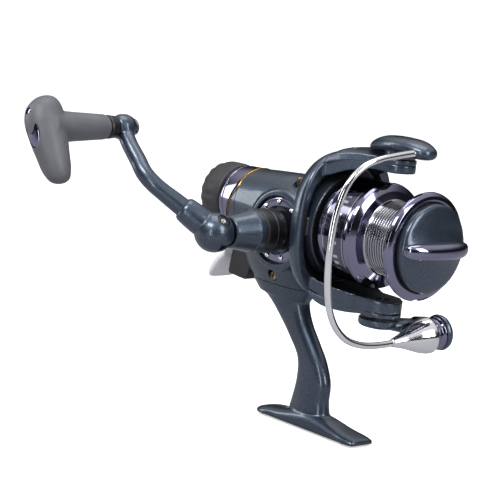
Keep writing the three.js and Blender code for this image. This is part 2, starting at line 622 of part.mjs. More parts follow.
function armCover(side, endR) {
  const outer = side > 0
    ? [[RIM_X + 0.3, 32, 37.6], [8, 32, 38.8], [14, 32, 39], [24, 32, 38.2], [46, 32, 37.8]]
    : [[RIM_X + 0.3, 32, 37.4], [8, 32, 39.2], [14, 32, 39.6], [22, 32, 39], [28, 32, 38], [46, 32, 37.5]];
  const seat = [30.7 + GAP, SEAT_HIGH + GAP];
  const shell = hoop(outer).subtract(hoop([[0, ...seat], [50, ...seat]]));
  const z = side > 0 ? [AXIS_Z + 20, AXIS_Z + 60] : [AXIS_Z - 60, AXIS_Z - 20];
  const plate = topPlate(armOutline(endR, 3, 5), ...z);
  return cut(shell.intersect(plate), pivotRod(40, 160, PIVOT_SCREW_R + GAP));
}

const ARM_SCREW_X = 9.4;
const ARM_SCREWS = { arm_cover_screw_near: -5.4, arm_cover_screw_far: 5.4 };
const armScrew = (y, grow) => union(
  rod(at(ARM_SCREW_X, y, AXIS_Z + 39.2 + 4 * grow), at(ARM_SCREW_X, y, AXIS_Z + 37.4 - grow), 1.7 + grow, 12),
  rod(at(ARM_SCREW_X, y, AXIS_Z + 38), at(ARM_SCREW_X, y, AXIS_Z + 33 - grow), 0.9 + grow, 10),
);

const armScrewHoles = Object.values(ARM_SCREWS).map((y) => armScrew(y, 0.25));
part('rotor', cut(rotor(), ...armScrewHoles), SLATE, 0.4, 0.4);
part('upper_arm_cover', cut(armCover(1, UPPER_END_R), ...armScrewHoles), SLATE, 0.4, 0.4);
part('lower_arm_cover', armCover(-1, LOWER_END_R), SLATE, 0.4, 0.4);
for (const [name, y] of Object.entries(ARM_SCREWS)) part(name, armScrew(y, 0), STEEL, 0.3, 1);
const nutBore = rod(onAxis(0), onAxis(20), 4.7, 20);
part('rotor_nut', rod(onAxis(8.4), onAxis(11.6), 8, 6).subtract(nutBore), STEEL, 0.3, 1);
part('bail_spring', spring(10, 23.6, 1.3, 0.35, 6, at(0, SPRING_LINE.y, SPRING_LINE.z)), STEEL, 0.3, 1);
part('trip_rod', lineRod(TRIP_LINE, 9.6, 24.4, 1), STEEL, 0.3, 1);
const lowerPivotScrew = union(pivotRod(58.2, 71.6, PIVOT_SCREW_R), pivotRod(58.2, 60.2, 4));
const upperPivotScrew = union(pivotRod(133.6, 148.2, PIVOT_SCREW_R), pivotRod(146.6, 148.2, 3.6));
part('lower_pivot_screw', lowerPivotScrew, STEEL, 0.3, 1);
part('upper_pivot_screw', upperPivotScrew, STEEL, 0.3, 1);

// ---------------------------------------------------------------- bail
const onRoller = (d) => CONE_APEX.clone().addScaledVector(ROLLER_DIR, d);
const aboutRoller = (sides) => ({ along: ROLLER_DIR, origin: CONE_APEX, sides });
const PLATE_START = CONE_LENGTH + ROLLER_WIDTH + 0.6;
const ovalAt = ([x, y, z, halfX, halfY, halfZ]) => ({ c: [x, y, z], u: [halfX, halfY, 0], v: [0, 0, halfZ] });

function lowerBailArm() {
  // middle, half width across the path, half height
  const path = [
    [23.4, -2, 61.4, 0.4, -1.4, 0.8], [26, -1, 61.2, 0.8, -5.4, 1.4], [30, 0, 61.1, 1, -8.6, 2],
    [36, 3, 61.3, 4, -8.4, 2.6], [40.2, 9, 60.7, 5, -4.6, 3.6], [41.2, 15, 60.2, 4.6, -1.6, 4.2],
    [42.6, 20.2, 59.8, 4.2, 0.6, 4.8], [45.4, 23.6, 59.4, 3.4, 2.2, 5.6], [48, 24.6, 59.2, 1.6, 1.8, 5.8],
  ];
  const hub = revolve([[0, 9.4], [1.4, 10], [4.6, 10]], { along: Z, origin: at(PIVOT_X, 0, 59.2) });
  const underCover = box([0, -30, AXIS_Z - 39.1], [60, 18, AXIS_Z]);
  const boss = pivotRod(60, AXIS_Z - 38.3, 6.4);
  const plateRows = [[0, 8.2], [1, 8.7], [3, 8.4], [4.4, 6.6], [5, 3.6]];
  const plate = revolve(plateRows.map(([d, r]) => [PLATE_START + d, r]), aboutRoller(20));
  const clearRows = [[3, 4.6], [14, 8.2], [CONE_LENGTH, 9.4], [PLATE_START - 0.01, 9.4]];
  const clearRoller = revolve(clearRows, aboutRoller(20));
  return cut(
    union(cut(union(cut(loft(path.map(ovalAt), 12, 0.8), clearRoller), hub), underCover), boss, plate),
    pivotRod(40, 80, PIVOT_SCREW_R + GAP),
    pivotRod(40, 60.5, 4.3),
    rod(onRoller(0), onRoller(PLATE_START + 3), 1.8),
  );
}

function upperBailArm() {
  // middle, half length along X, half width, half height
  const bean = [
    [14.5, 1, 142.4, 1], [17, 1, 142.8, 4], [23, 1, 144.6, 7], [31, 0.6, 145.9, 8.6], [39, 0, 146.2, 8.8],
    [46, -0.6, 145.9, 8], [51.4, -1, 145.2, 6], [54.6, -1, 144.6, 3],
  ];
  const sections = bean.map(([x, y, z, half]) => ({
    c: [x, y, z], u: [0, half, 0], v: [0, 0, Math.min(half * 0.52 + 0.4, 4.3)],
  }));
  const shape = loft(sections, 16, 0.85)
    .intersect(box([0, -20, AXIS_Z + 38.2], [80, 20, 160]))
    .subtract(box([0, -20, 120], [24.6, 20, AXIS_Z + 39.4]));
  return cut(
    shape.add(pivotRod(AXIS_Z + 38.2, 145.6, 7.4, 16)),
    pivotRod(120, 160, PIVOT_SCREW_R + GAP),
    pivotRod(146.3, 160, 3.9),
    wire(0.15),
  );
}

// The wire runs from the upper bail arm round the near side of the spool to the roller cone.
function wire(grow) {
  const route = [
    [48.6, -3.5, 145], [48.7, -10, 144.6], [48.6, -20, 143.4], [48, -29, 141.8], [46.8, -37.5, 138.4],
    [45.2, -44.5, 130.6], [44.3, -48.4, 119], [44.2, -50, 106], [44.5, -50.2, 94], [45.2, -49.4, 82],
    [46.2, -47.4, 72], [47.5, -43.6, 64.4], [49, -37.6, 58.8], [50.2, -29, 55.9], [50.5, -20, 55],
    [50.3, -12, 55], [50.25, -7.6, 55.2],
  ];
  return tube(route.map(([x, y, z]) => at(x, y, z)), WIRE_R + grow, 34, 7);
}
part('lower_bail_arm', lowerBailArm(), SLATE, 0.4, 0.4);
part('upper_bail_arm', upperBailArm(), SLATE, 0.4, 0.4);
part('bail_wire', wire(0), SILVER, 0.1, 1);
const coneRows = [[0.3, 2.1], [1.2, 2.6], [8, 4.6], [15, 7], [20, 8.4], [22.4, 8.7], [CONE_LENGTH - 0.2, 8.2]];
const cone = cut(revolve(coneRows, aboutRoller(24)), rod(onRoller(15), onRoller(30), 1.8));
part('roller_cone', cone, SILVER, 0.06, 1);
part('roller_axle', rod(onRoller(15.4), onRoller(PLATE_START + 2.6), 1.5), STEEL, 0.3, 1);
part('roller_bush', washer(CONE_LENGTH + 0.1, PLATE_START - 0.3, 1.8, 2.9, aboutRoller(20)), NYLON, 0.6, 0);
part('line_roller', revolve([
  [CONE_LENGTH + 0.1, 3.2], [CONE_LENGTH + 0.1, 8], [CONE_LENGTH + 1.6, 7.2], [CONE_LENGTH + 3.4, 7.2],
  [PLATE_START - 0.3, 8], [PLATE_START - 0.3, 3.2],
], { ...aboutRoller(24), ring: true }), GUNMETAL, 0.06, 1);

// ---------------------------------------------------------------- crank
const OUT = at(Math.cos(ARM_ANGLE), 0, Math.sin(ARM_ANGLE));
const FOLD_AXIS = at(OUT.z, 0, -OUT.x); // leans forward and up, across the shank and the arm
const BALL = onDrive(BALL_Y);
const armPoint = ({ out, y }) => onDrive(y).addScaledVector(OUT, out);
const BEND = armPoint(ARM_BEND);
const ARM_TIP = armPoint(ARM_END);
const ARM_DIR = BEND.clone().sub(BALL).normalize();
const alongArm = (d) => BALL.clone().addScaledVector(ARM_DIR, d);
const foldRod = (from, to, radius, sides = 20) => rod(BALL.clone().addScaledVector(FOLD_AXIS, from),
  BALL.clone().addScaledVector(FOLD_AXIS, to), radius, sides);

// A slab across the fold axis, in the plane of the shank and the arm.
function foldSlab(halfThick, out, y) {
  const g = new THREE.BoxGeometry(out[1] - out[0], y[1] - y[0], 2 * halfThick);
  g.translate((out[0] + out[1]) / 2, (y[0] + y[1]) / 2, 0);
  g.applyMatrix4(new THREE.Matrix4().makeBasis(OUT, Y, OUT.clone().cross(Y)));
  g.translate(BALL.x, BALL.y, BALL.z);
  return solid(g);
}

const TONGUE_R = 5.4;
const TONGUE_HALF = 1.8; // half thickness, in a slot GAP wider each side
const FOLD_BORE_R = 2.3;
const CRANK_ARM_R = 4;
const ball = (radius, sides, rings) => turned(new THREE.SphereGeometry(radius, sides, rings), FOLD_AXIS, BALL);

function crankShank() {
  const cone = revolve([[-51.6, 7.5], [-45, 8.7], [-38.4, 10], [-36, 10.5], [-34.3, 10.5]], aboutDrive);
  const dish = ball(BALL_R + 0.45, 24, 14);
  const tongue = foldSlab(TONGUE_HALF, [-TONGUE_R, TONGUE_R], [0, 12.5])
    .add(foldRod(-TONGUE_HALF, TONGUE_HALF, TONGUE_R, 16));
  const shaft = driveRod(-34.5, -17.3, DRIVE_SHAFT_R);
  return cut(union(cone.subtract(dish), shaft, tongue), foldRod(-5, 5, FOLD_BORE_R));
}

function knuckle() {
  const ferruleRows = [[5, 6.4], [9, 6.6], [17.6, 6], [19, 5.2]];
  const ferrule = revolve(ferruleRows, { along: ARM_DIR, origin: BALL, sides: 8 });
  return cut(
    ball(BALL_R, 16, 9).add(ferrule),
    foldSlab(TONGUE_HALF + GAP, [-14, TONGUE_R + GAP], [-TONGUE_R - GAP, 14]),
    foldRod(-20, 20, FOLD_BORE_R),
    foldRod(7.4, 20, 3.7),
    rod(alongArm(11.6), alongArm(30), 3.8, 8),
  );
}

function crankArm() {
  const spigot = rod(alongArm(12), alongArm(21), 3.4, 8);
  const inner = rod(alongArm(19.4), BEND, CRANK_ARM_R, 10);
  const outer = rod(BEND, ARM_TIP, CRANK_ARM_R, 10);
  const joint = turned(new THREE.SphereGeometry(CRANK_ARM_R + 0.1, 12, 6), Y, BEND);
  const bossRows = [[-5.2, 3.8], [-4.2, 5.2], [-1.6, 6.2], [1.6, 6.2], [4.2, 5.2], [5.2, 3.8]];
  const boss = revolve(bossRows, { along: Y, origin: ARM_TIP });
  const bore = rod(inward(ARM_TIP, -20), inward(ARM_TIP, 20), 2.3);
  return cut(union(spigot, inner, outer, joint, boss), bore);
}

part('crank_collar', revolve([
  [-34, 3.5], [-34, 10.2], [-33, 10.6], [-22.4, 10.9], [-21.4, 10.4], [-21.4, 9.4], [-17.2, 9.4],
  [-17.2, 3.5],
], { ...aboutDrive, ring: true }), BLACK, 0.35, 0);
part('crank_shank', crankShank(), SLATE, 0.35, 0.4);
part('knuckle', knuckle(), SLATE, 0.35, 0.4);
part('fold_screw', foldRod(-8.4, 9.2, 2, 16).add(foldRod(7.7, 9.2, 3.3, 20)), STEEL, 0.25, 1);
part('crank_arm', crankArm(), SLATE, 0.35, 0.4);

// ---------------------------------------------------------------- T grip
const BAR = at(-Math.sin(GRIP_LEAN), 0, Math.cos(GRIP_LEAN));
const BAR_SIDE = at(Math.cos(GRIP_LEAN), 0, Math.sin(GRIP_LEAN));
const atTip = (y) => ARM_TIP.clone().setY(y);
const aboutTip = { along: Y, origin: atTip(0), sides: 16 };

function grip() {
  // distance up the bar, shift toward the reel, half width, half depth along Y
  const rows = [
    [-27.4, 2, 2.2, 2.6], [-26, 1.6, 4.6, 5], [-22, 1, 6, 6.6], [-14, 0.4, 7, 8], [-5, 0, 8, 9.4],
    [4, 0, 8.6, 9.8], [9.6, 0.6, 7.6, 8.2], [13.2, 1.6, 5, 5.4], [14.6, 2, 2.2, 2.6],
  ];
  const sections = rows.map(([up, shift, wide, deep]) => ({
    c: atTip(GRIP_Y + shift).addScaledVector(BAR, up).toArray(),
    u: BAR_SIDE.clone().multiplyScalar(wide).toArray(),
    v: [0, deep, 0],
  }));
  const stalk = revolve([[-126, 8.4], [-118, 7.2], [-108, 6.6], [-94, 5.9], [-92.9, 5.4]], aboutTip);
  return cut(union(loft(sections, 16), stalk), rod(atTip(-118.5), atTip(-80), 2.2), gripCap(GAP));
}

function gripCap(grow) {
  const centre = atTip(GRIP_Y + 2).addScaledVector(BAR, -0.9);
  const row = (y, size) => ({
    c: inward(centre, y).toArray(),
    u: BAR.clone().multiplyScalar(10 * size + grow).toArray(),
    v: BAR_SIDE.clone().multiplyScalar(4.6 * size + grow).toArray(),
  });
  return loft([row(-6.8 + grow, 0.9), row(-8.9, 1), row(-10.9, 0.7)], 16);
}
part('grip_spindle', union(rod(atTip(-118), atTip(ARM_END.y + 6.8), 1.9),
  rod(atTip(ARM_END.y + 5.5), atTip(ARM_END.y + 6.8), 4, 20)), STEEL, 0.25, 1);
const gripBush = revolve([[-92.6, 2.3], [-92.6, 5.6], [-87.5, 5.2], [-87.5, 2.3]], { ...aboutTip, ring: true });
part('grip_bush', gripBush, BLACK, 0.4, 0);
part('grip', grip(), GREY, 0.75, 0);
part('grip_cap', gripCap(0), GUNMETAL, 0.12, 1);

export default reel;
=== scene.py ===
"""A spinning fishing reel: the finished surfaces, materials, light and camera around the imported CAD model.
Lengths in this file are millimetres until a mesh is made. +X is forward along the spool axis, +Z is up,
and the crank is on the -Y side."""

import json
import math

import bmesh
import bpy
import numpy as np
from mathutils import Matrix, Vector


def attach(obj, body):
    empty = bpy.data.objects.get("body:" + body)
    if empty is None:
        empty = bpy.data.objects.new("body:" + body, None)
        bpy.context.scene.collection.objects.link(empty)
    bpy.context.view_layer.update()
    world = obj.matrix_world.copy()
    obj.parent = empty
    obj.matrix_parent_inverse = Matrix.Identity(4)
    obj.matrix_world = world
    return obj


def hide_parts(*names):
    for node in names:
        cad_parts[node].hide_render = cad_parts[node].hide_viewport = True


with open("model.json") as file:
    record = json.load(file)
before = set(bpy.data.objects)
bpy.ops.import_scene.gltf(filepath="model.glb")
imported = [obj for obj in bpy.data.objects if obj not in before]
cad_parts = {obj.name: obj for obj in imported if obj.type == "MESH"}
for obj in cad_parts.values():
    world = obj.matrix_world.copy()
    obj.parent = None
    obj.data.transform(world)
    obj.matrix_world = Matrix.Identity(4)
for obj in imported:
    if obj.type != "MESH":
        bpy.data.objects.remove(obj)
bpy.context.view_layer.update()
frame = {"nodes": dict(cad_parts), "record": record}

MM = 0.001
FINE = 1.0  # multiplies the voxel sizes of the melted pieces


def arr(*values):
    return np.array(values, float)


def unit(v):
    return np.asarray(v, float) / np.linalg.norm(v)


X, Y, Z = arr(1, 0, 0), arr(0, 1, 0), arr(0, 0, 1)
AXIS_Z = 102  # height of the spool axis
AXIS = arr(0, 0, AXIS_Z)
DRIVE = arr(-22.6, 0, 94.8)  # on the crank's axis, which runs along Y
ARC_STEPS = 5  # points on each rounded corner
STRAIGHT = -0.985  # the cosine beyond which a corner is too flat to round


def turns(count):
    return np.linspace(0, 2 * np.pi, count, endpoint=False)


# ------------------------------------------------------------------ mesh helpers
def linked(name, data):
    obj = bpy.data.objects.new(name, data)
    bpy.context.collection.objects.link(obj)
    return obj


def discard(obj):
    mesh = obj.data
    bpy.data.objects.remove(obj)
    bpy.data.meshes.remove(mesh)


def mesh_object(name, points, faces):
    mesh = bpy.data.meshes.new(name)
    mesh.from_pydata([tuple(p) for p in np.asarray(points, float) * MM], [], faces)
    bm = bmesh.new()
    bm.from_mesh(mesh)
    bmesh.ops.remove_doubles(bm, verts=bm.verts, dist=1e-6)
    bmesh.ops.recalc_face_normals(bm, faces=bm.faces)
    bm.to_mesh(mesh)
    bm.free()
    return linked(name, mesh)


def skin(name, rows, closed=False):
    """A surface through rows of points, each row a loop. Open ends are capped."""
    rows = np.asarray(rows)
    count, size = rows.shape[:2]
    faces = []
    for i in range(count if closed else count - 1):
        j = (i + 1) % count
        for k in range(size):
            m = (k + 1) % size
            faces.append((i * size + k, i * size + m, j * size + m, j * size + k))
    if not closed:
        faces.append(tuple(range(size)))
        faces.append(tuple((count - 1) * size + k for k in range(size)))
    return mesh_object(name, rows.reshape(-1, 3), faces)


def rounded(points, radius, closed):
    """The outline with its corners turned into small arcs. A third number in a point is its own radius."""
    out = []
    for i, point in enumerate(points):
        here = arr(*point[:2])
        r = point[2] if len(point) > 2 else radius
        if r <= 0 or (not closed and i in (0, len(points) - 1)):
            out.append(here)
            continue
        a = arr(*points[i - 1][:2]) - here
        b = arr(*points[(i + 1) % len(points)][:2]) - here
        la, lb = np.linalg.norm(a), np.linalg.norm(b)
        a, b = a / la, b / lb
        turn = float(np.clip(a @ b, -1, 1))
        if turn < STRAIGHT:
            out.append(here)
            continue
        t = min(r / math.tan(math.acos(turn) / 2), 0.46 * la, 0.46 * lb)
        for s in np.linspace(0, 1, ARC_STEPS):
            out.append((1 - s) ** 2 * (here + a * t) + 2 * s * (1 - s) * here + s * s * (here + b * t))
    return out


def across(along):
    """Two directions square to along, the second one nearest to up."""
    w = unit(along)
    u = unit(np.cross(w, Z)) if abs(w[2]) < 0.95 else X
    return u, np.cross(u, w)


def lathe(name, profile, along=X, origin=AXIS, sides=96, ring=False, corner=0.3, reach=None):
    """A turned piece from [distance along, radius] points. reach(distance, angle) may scale the radius."""
    w = unit(along)
    u, v = across(along)
    angles = turns(sides)
    rows = []
    for a, r in rounded(profile, corner, ring):
        size = np.array([r * (reach(a, t) if reach else 1) for t in angles])
        rows.append(origin + w * a + np.outer(np.cos(angles) * size, u) + np.outer(np.sin(angles) * size, v))
    return skin(name, rows, closed=ring)


def flow(rows, steps):
    """A smooth curve through rows of numbers, with steps between each pair."""
    rows = np.array(rows, float)
    gaps = np.maximum(np.linalg.norm(np.diff(rows, axis=0), axis=1), 1e-6)
    slopes = np.diff(rows, axis=0) / gaps[:, None]
    bends = [slopes[0]]
    for i in range(1, len(rows) - 1):
        total = gaps[i - 1] + gaps[i]
        bends.append((slopes[i - 1] * gaps[i] + slopes[i] * gaps[i - 1]) / total)
    bends.append(slopes[-1])
    out = []
    for i, gap in enumerate(gaps):
        for s in np.arange(steps) / steps:
            out.append(
                (2 * s**3 - 3 * s**2 + 1) * rows[i]
                + (s**3 - 2 * s**2 + s) * gap * bends[i]
                + (3 * s**2 - 2 * s**3) * rows[i + 1]
                + (s**3 - s**2) * gap * bends[i + 1]
            )
    out.append(rows[-1])
    return np.array(out)


def loft(name, rows, sides=64, square=0.8, steps=5):
    """A skinned piece: each row is an oval's centre and its two half axes, nine numbers."""
    angles = turns(sides)
    p = np.sign(np.cos(angles)) * np.abs(np.cos(angles)) ** square
    q = np.sign(np.sin(angles)) * np.abs(np.sin(angles)) ** square
    rows = flow([np.concatenate([arr(*part) for part in row]) for row in rows], steps)
    return skin(name, [row[:3] + np.outer(p, row[3:6]) + np.outer(q, row[6:9]) for row in rows])


def sweep(name, path, radii, sides, steps):
    """A round bar along a smooth path."""
    rows = [[*point, radii[i] if np.ndim(radii) else radii] for i, point in enumerate(path)]
    line = flow(rows, steps)
    centres, sizes = line[:, :3], line[:, 3]
    tangents = np.gradient(centres, axis=0)
    angles = turns(sides)
    u = across(tangents[0])[0]
    loops = []
    for centre, size, tangent in zip(centres, sizes, tangents):
        w = unit(tangent)
        u = unit(u - w * (u @ w))
        v = np.cross(w, u)
        loops.append(centre + np.outer(np.cos(angles) * size, u) + np.outer(np.sin(angles) * size, v))
    return skin(name, loops)


def box(low, high):
    corners = [(x, y, z) for x in (low[0], high[0]) for y in (low[1], high[1]) for z in (low[2], high[2])]
    faces = [(0, 1, 3, 2), (4, 6, 7, 5), (0, 4, 5, 1), (2, 3, 7, 6), (0, 2, 6, 4), (1, 5, 7, 3)]
    return mesh_object("box", corners, faces)


def prism(outline, low, high, axis):
    """An outline in the other two axes, in X, Y, Z order, from low to high along the axis."""
    rows = []
    for level in (low, high):
        row = [list(point) for point in outline]
        for point in row:
            point.insert(axis, level)
        rows.append(row)
    return skin("prism", rows)


def rod(start, end, radius, sides=48):
    start, end = np.asarray(start, float), np.asarray(end, float)
    length = np.linalg.norm(end - start)
    return lathe("rod", [[0, radius], [length, radius]], along=end - start, origin=start, sides=sides, corner=0)


def applied(obj):
    bpy.context.view_layer.update()
    mesh = bpy.data.meshes.new_from_object(obj.evaluated_get(bpy.context.evaluated_depsgraph_get()))
    old = obj.data
    obj.modifiers.clear()
    obj.data = mesh
    bpy.data.meshes.remove(old)
    return obj


def carve(obj, *tools, operation="DIFFERENCE"):
    for tool in tools:
        modifier = obj.modifiers.new("carve", "BOOLEAN")
        modifier.operation = operation
        modifier.object = tool
        modifier.solver = "EXACT"
    applied(obj)
    for tool in tools:
        discard(tool)
    return obj


def joined(name, *objs):
    bm = bmesh.new()
    for obj in objs:
        bm.from_mesh(obj.data)
        discard(obj)
    mesh = bpy.data.meshes.new(name)
    bm.to_mesh(mesh)
    bm.free()
    return linked(name, mesh)


def melted(obj, voxel, rounds):
    """One skin over everything in obj, its corners softened as in a casting."""
    modifier = obj.modifiers.new("skin", "REMESH")
    modifier.mode = "VOXEL"
    modifier.voxel_size = voxel * FINE * MM
    soft = obj.modifiers.new("soft", "SMOOTH")
    soft.factor = 0.5
    soft.iterations = rounds
    return applied(obj)


def dressed(obj, material, body, *nodes, slot, crease=38):
    """Gives a piece its material and body and hides the CAD nodes it stands for; slot is not used. crease is in
    degrees.
    """
    if material is not None:
        obj.data.materials.clear()
        obj.data.materials.append(material)
    obj.data.shade_smooth()
    if crease:
        obj.data.set_sharp_from_angle(angle=math.radians(crease))
    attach(obj, body)
    if nodes:
        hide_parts(*nodes)
    return obj


# ------------------------------------------------------------------ materials
SOFT_EDGE = 0.05  # half the width, in mm, over which a painted mark fades out
FLAKES = 4600  # cells to the metre in the paint's metal flake


class Surface:
    """A Principled material with colour, roughness and height from noise in the part's frame."""

    def __init__(self, name, metallic=0.0, roughness=0.4, coat=0.0, coat_roughness=0.06, **sockets):
        self.material = bpy.data.materials.new(name)
        self.material.use_nodes = True
        self.tree = self.material.node_tree
        self.bsdf = self.tree.nodes["Principled BSDF"]
        self.bsdf.inputs["Metallic"].default_value = metallic
        self.bsdf.inputs["Roughness"].default_value = roughness
        self.bsdf.inputs["Coat Weight"].default_value = coat
        self.bsdf.inputs["Coat Roughness"].default_value = coat_roughness
        for key, value in sockets.items():
            self.bsdf.inputs[key.replace("_", " ")].default_value = value
        self.place = self.add("ShaderNodeTexCoord").outputs["Object"]
        self.height = None

    def add(self, kind, **settings):
        node = self.tree.nodes.new(kind)
        for key, value in settings.items():
            setattr(node, key, value)
        return node

    def link(self, out, into):
        self.tree.links.new(out, into)

    def math(self, operation, a, b=0.0):
        node = self.add("ShaderNodeMath", operation=operation)
        for i, value in enumerate((a, b)):
            if isinstance(value, (int, float)):
                node.inputs[i].default_value = value
            else:
                self.link(value, node.inputs[i])
        return node.outputs[0]

    def noise(self, scale, detail, stretch=None):
        node = self.add("ShaderNodeTexNoise")
        node.inputs["Scale"].default_value = scale
        node.inputs["Detail"].default_value = detail
        node.inputs["Roughness"].default_value = 0.5
        place = self.place
        if stretch:
            mapping = self.add("ShaderNodeMapping")
            mapping.inputs["Scale"].default_value = stretch
            self.link(self.place, mapping.inputs["Vector"])
            place = mapping.outputs[0]
        self.link(place, node.inputs["Vector"])
        return node.outputs["Fac"]

    def flakes(self, scale):
        """A random level for each small cell of the surface."""
        node = self.add("ShaderNodeTexVoronoi")
        node.inputs["Scale"].default_value = scale
        self.link(self.place, node.inputs["Vector"])
        split = self.add("ShaderNodeSeparateColor")
        self.link(node.outputs["Color"], split.inputs[0])
        return split.outputs[0]

    def ramp(self, fac, stops):
        node = self.add("ShaderNodeValToRGB")
        elements = node.color_ramp.elements
        while len(elements) < len(stops):
            elements.new(0.5)
        for element, (position, colour) in zip(elements, stops):
            element.position = position
            element.color = (*colour, 1)
        self.link(fac, node.inputs[0])
        return node.outputs[0]

    def mix(self, fac, a, b):
        node = self.add("ShaderNodeMix", data_type="RGBA")
        for index, value in ((0, fac), (6, a), (7, b)):
            if isinstance(value, tuple):
                node.inputs[index].default_value = (*value, 1)
            elif isinstance(value, (int, float)):
                node.inputs[index].default_value = value
            else:
                self.link(value, node.inputs[index])
        return node.outputs[2]

    def colour(self, out):
        self.link(out, self.bsdf.inputs["Base Color"])
        return self

    def rough(self, fac, low, high):
        node = self.add("ShaderNodeMapRange")
        self.link(fac, node.inputs[0])
        node.inputs[3].default_value = low
        node.inputs[4].default_value = high
        self.link(node.outputs[0], self.bsdf.inputs["Roughness"])
        return self

    def bump(self, fac, strength, distance):
        node = self.add("ShaderNodeBump")
        node.inputs["Strength"].default_value = strength
        node.inputs["Distance"].default_value = distance * MM
        self.link(fac, node.inputs["Height"])
        if self.height is not None:
            self.link(self.height, node.inputs["Normal"])
        self.height = node.outputs[0]
        self.link(self.height, self.bsdf.inputs["Normal"])
        return self

    def between(self, value, low, high):
        """One where value, in metres, lies between low and high, in mm, with a soft edge."""
        sides = []
        for start, end in ((low - SOFT_EDGE, low + SOFT_EDGE), (high + SOFT_EDGE, high - SOFT_EDGE)):
            node = self.add("ShaderNodeMapRange")
            self.link(value, node.inputs[0])
            node.inputs[1].default_value = start * MM
            node.inputs[2].default_value = end * MM
            sides.append(node.outputs[0])
        return self.math("MULTIPLY", *sides)

    def xyz(self):
        node = self.add("ShaderNodeSeparateXYZ")
        self.link(self.place, node.inputs[0])
        return node.outputs


def slate_paint():
    s = Surface("slate_paint", metallic=0.8, roughness=0.34, coat=0.6, coat_roughness=0.08)
    dark = (0.04, 0.056, 0.082)
    flakes = s.ramp(s.flakes(FLAKES), [(0.0, dark), (0.6, (0.054, 0.074, 0.106)), (0.9, (0.074, 0.098, 0.136)),
                                       (1.0, (0.13, 0.16, 0.205))])
    drift = s.ramp(s.noise(45, 3), [(0.3, (0, 0, 0)), (0.75, (0.35, 0.35, 0.35))])
    s.colour(s.mix(drift, flakes, dark))
    s.rough(s.noise(160, 4), 0.28, 0.42)
    s.bump(s.flakes(FLAKES), 0.04, 0.015)
    s.bump(s.noise(420, 2), 0.05, 0.05)
    return s.material


def smoked_chrome():
    s = Surface("gunmetal_chrome", metallic=1.0, roughness=0.09, coat=0.3, coat_roughness=0.03)
    s.colour(s.mix(s.noise(60, 2), (0.26, 0.26, 0.37), (0.19, 0.19, 0.28)))
    s.rough(s.noise(240, 4), 0.05, 0.14)
    s.bump(s.noise(90, 2), 0.04, 0.08)
    return s.material


TICKS = 46  # tick marks round the skirt, before the gaps between their groups
TICK_SHARE, GROUP_SHARE = 0.42, 0.62  # how much of each step is marked


def spool_skirt():
    """Smoked chrome with two fine pale lines and a band of plain tick marks round it."""
    s = Surface("spool_skirt", metallic=1.0, roughness=0.1, coat=0.4, coat_roughness=0.03)
    x, y, z = s.xyz()
    angle = s.math("ARCTAN2", s.math("SUBTRACT", z, AXIS_Z * MM), y)
    tick = s.math("FRACT", s.math("MULTIPLY", angle, TICKS / (2 * math.pi)))
    group = s.math("FRACT", s.math("MULTIPLY", angle, TICKS / 4 / (2 * math.pi)))
    marked = s.math("MULTIPLY", s.math("LESS_THAN", tick, TICK_SHARE), s.math("LESS_THAN", group, GROUP_SHARE))
    ticks = s.math("MULTIPLY", marked, s.between(x, 20.4, 23.2))
    lines = s.math("ADD", s.between(x, 14.2, 14.7), s.between(x, 26.6, 26.85))
    marks = s.math("MINIMUM", s.math("ADD", ticks, lines), 1.0)
    dark = s.mix(s.noise(60, 2), (0.13, 0.128, 0.185), (0.085, 0.084, 0.125))
    s.colour(s.mix(marks, dark, (0.66, 0.66, 0.7)))
    s.rough(s.noise(240, 4), 0.06, 0.15)
    return s.material


def bright_metal(name, base, low, high, brushed=None):
    """low and high are the roughness. brushed stretches the grain, as three scales."""
    s = Surface(name, metallic=1.0)
    s.colour(s.mix(s.noise(80, 3), base, tuple(0.86 * c for c in base)))
    s.rough(s.noise(300, 4, stretch=brushed), low, high)
    s.bump(s.noise(900, 2, stretch=brushed), 0.06, 0.02)
    return s.material


def plastic(name, base, pale, low, high, grain=0.0, scale=1600, coat=0.0, metallic=0.0):
    """low and high are the roughness. grain is the strength of its bumps, and scale is how many to the metre."""
    s = Surface(name, coat=coat, metallic=metallic)
    s.colour(s.mix(s.ramp(s.noise(120, 4), [(0.35, (0, 0, 0)), (0.8, (1, 1, 1))]), base, pale))
    s.rough(s.noise(500, 3), low, high)
    if grain:
        s.bump(s.noise(scale, 2), grain, 0.06)
    return s.material


SLATE = slate_paint()
CHROME = smoked_chrome()
SKIRT = spool_skirt()
BRIGHT = bright_metal("bright_chrome", (0.88, 0.88, 0.9), 0.06, 0.12)
ARBOR = bright_metal("turned_silver", (0.5, 0.5, 0.53), 0.1, 0.2, brushed=(60, 1, 1))
STEEL = bright_metal("machined_steel", (0.4, 0.4, 0.42), 0.2, 0.34)
BRASS = bright_metal("machined_brass", (0.24, 0.19, 0.12), 0.2, 0.34)
GOLD = bright_metal("gold_line", (0.5, 0.25, 0.05), 0.2, 0.3)
BLACK = plastic("black_plastic", (0.006, 0.006, 0.008), (0.012, 0.012, 0.015), 0.3, 0.42, 0.04)
# Near-black as painted shade in the spool's recesses and the gaps round the side disc and the front knob; also
# the fold screw's own black head.
SHADE_AND_SCREW_BLACK = plastic("shade_and_screw_black", (0.004, 0.004, 0.005), (0.008, 0.008, 0.009), 0.4, 0.5)
RUBBER = plastic("knob_rubber", (0.018, 0.018, 0.02), (0.032, 0.032, 0.035), 0.5, 0.65, 0.12)
SOFT = plastic("soft_grip", (0.088, 0.09, 0.1), (0.115, 0.118, 0.13), 0.42, 0.55, 0.1, 2200)
PEARL = plastic("silver_plastic", (0.76, 0.76, 0.79), (0.84, 0.84, 0.87), 0.3, 0.38, coat=0.4, metallic=0.1)
FELT = plastic("felt", (0.2, 0.16, 0.12), (0.3, 0.25, 0.19), 0.85, 0.95, 0.5)
NYLON = plastic("nylon", (0.62, 0.6, 0.52), (0.7, 0.68, 0.6), 0.35, 0.5, 0.05)

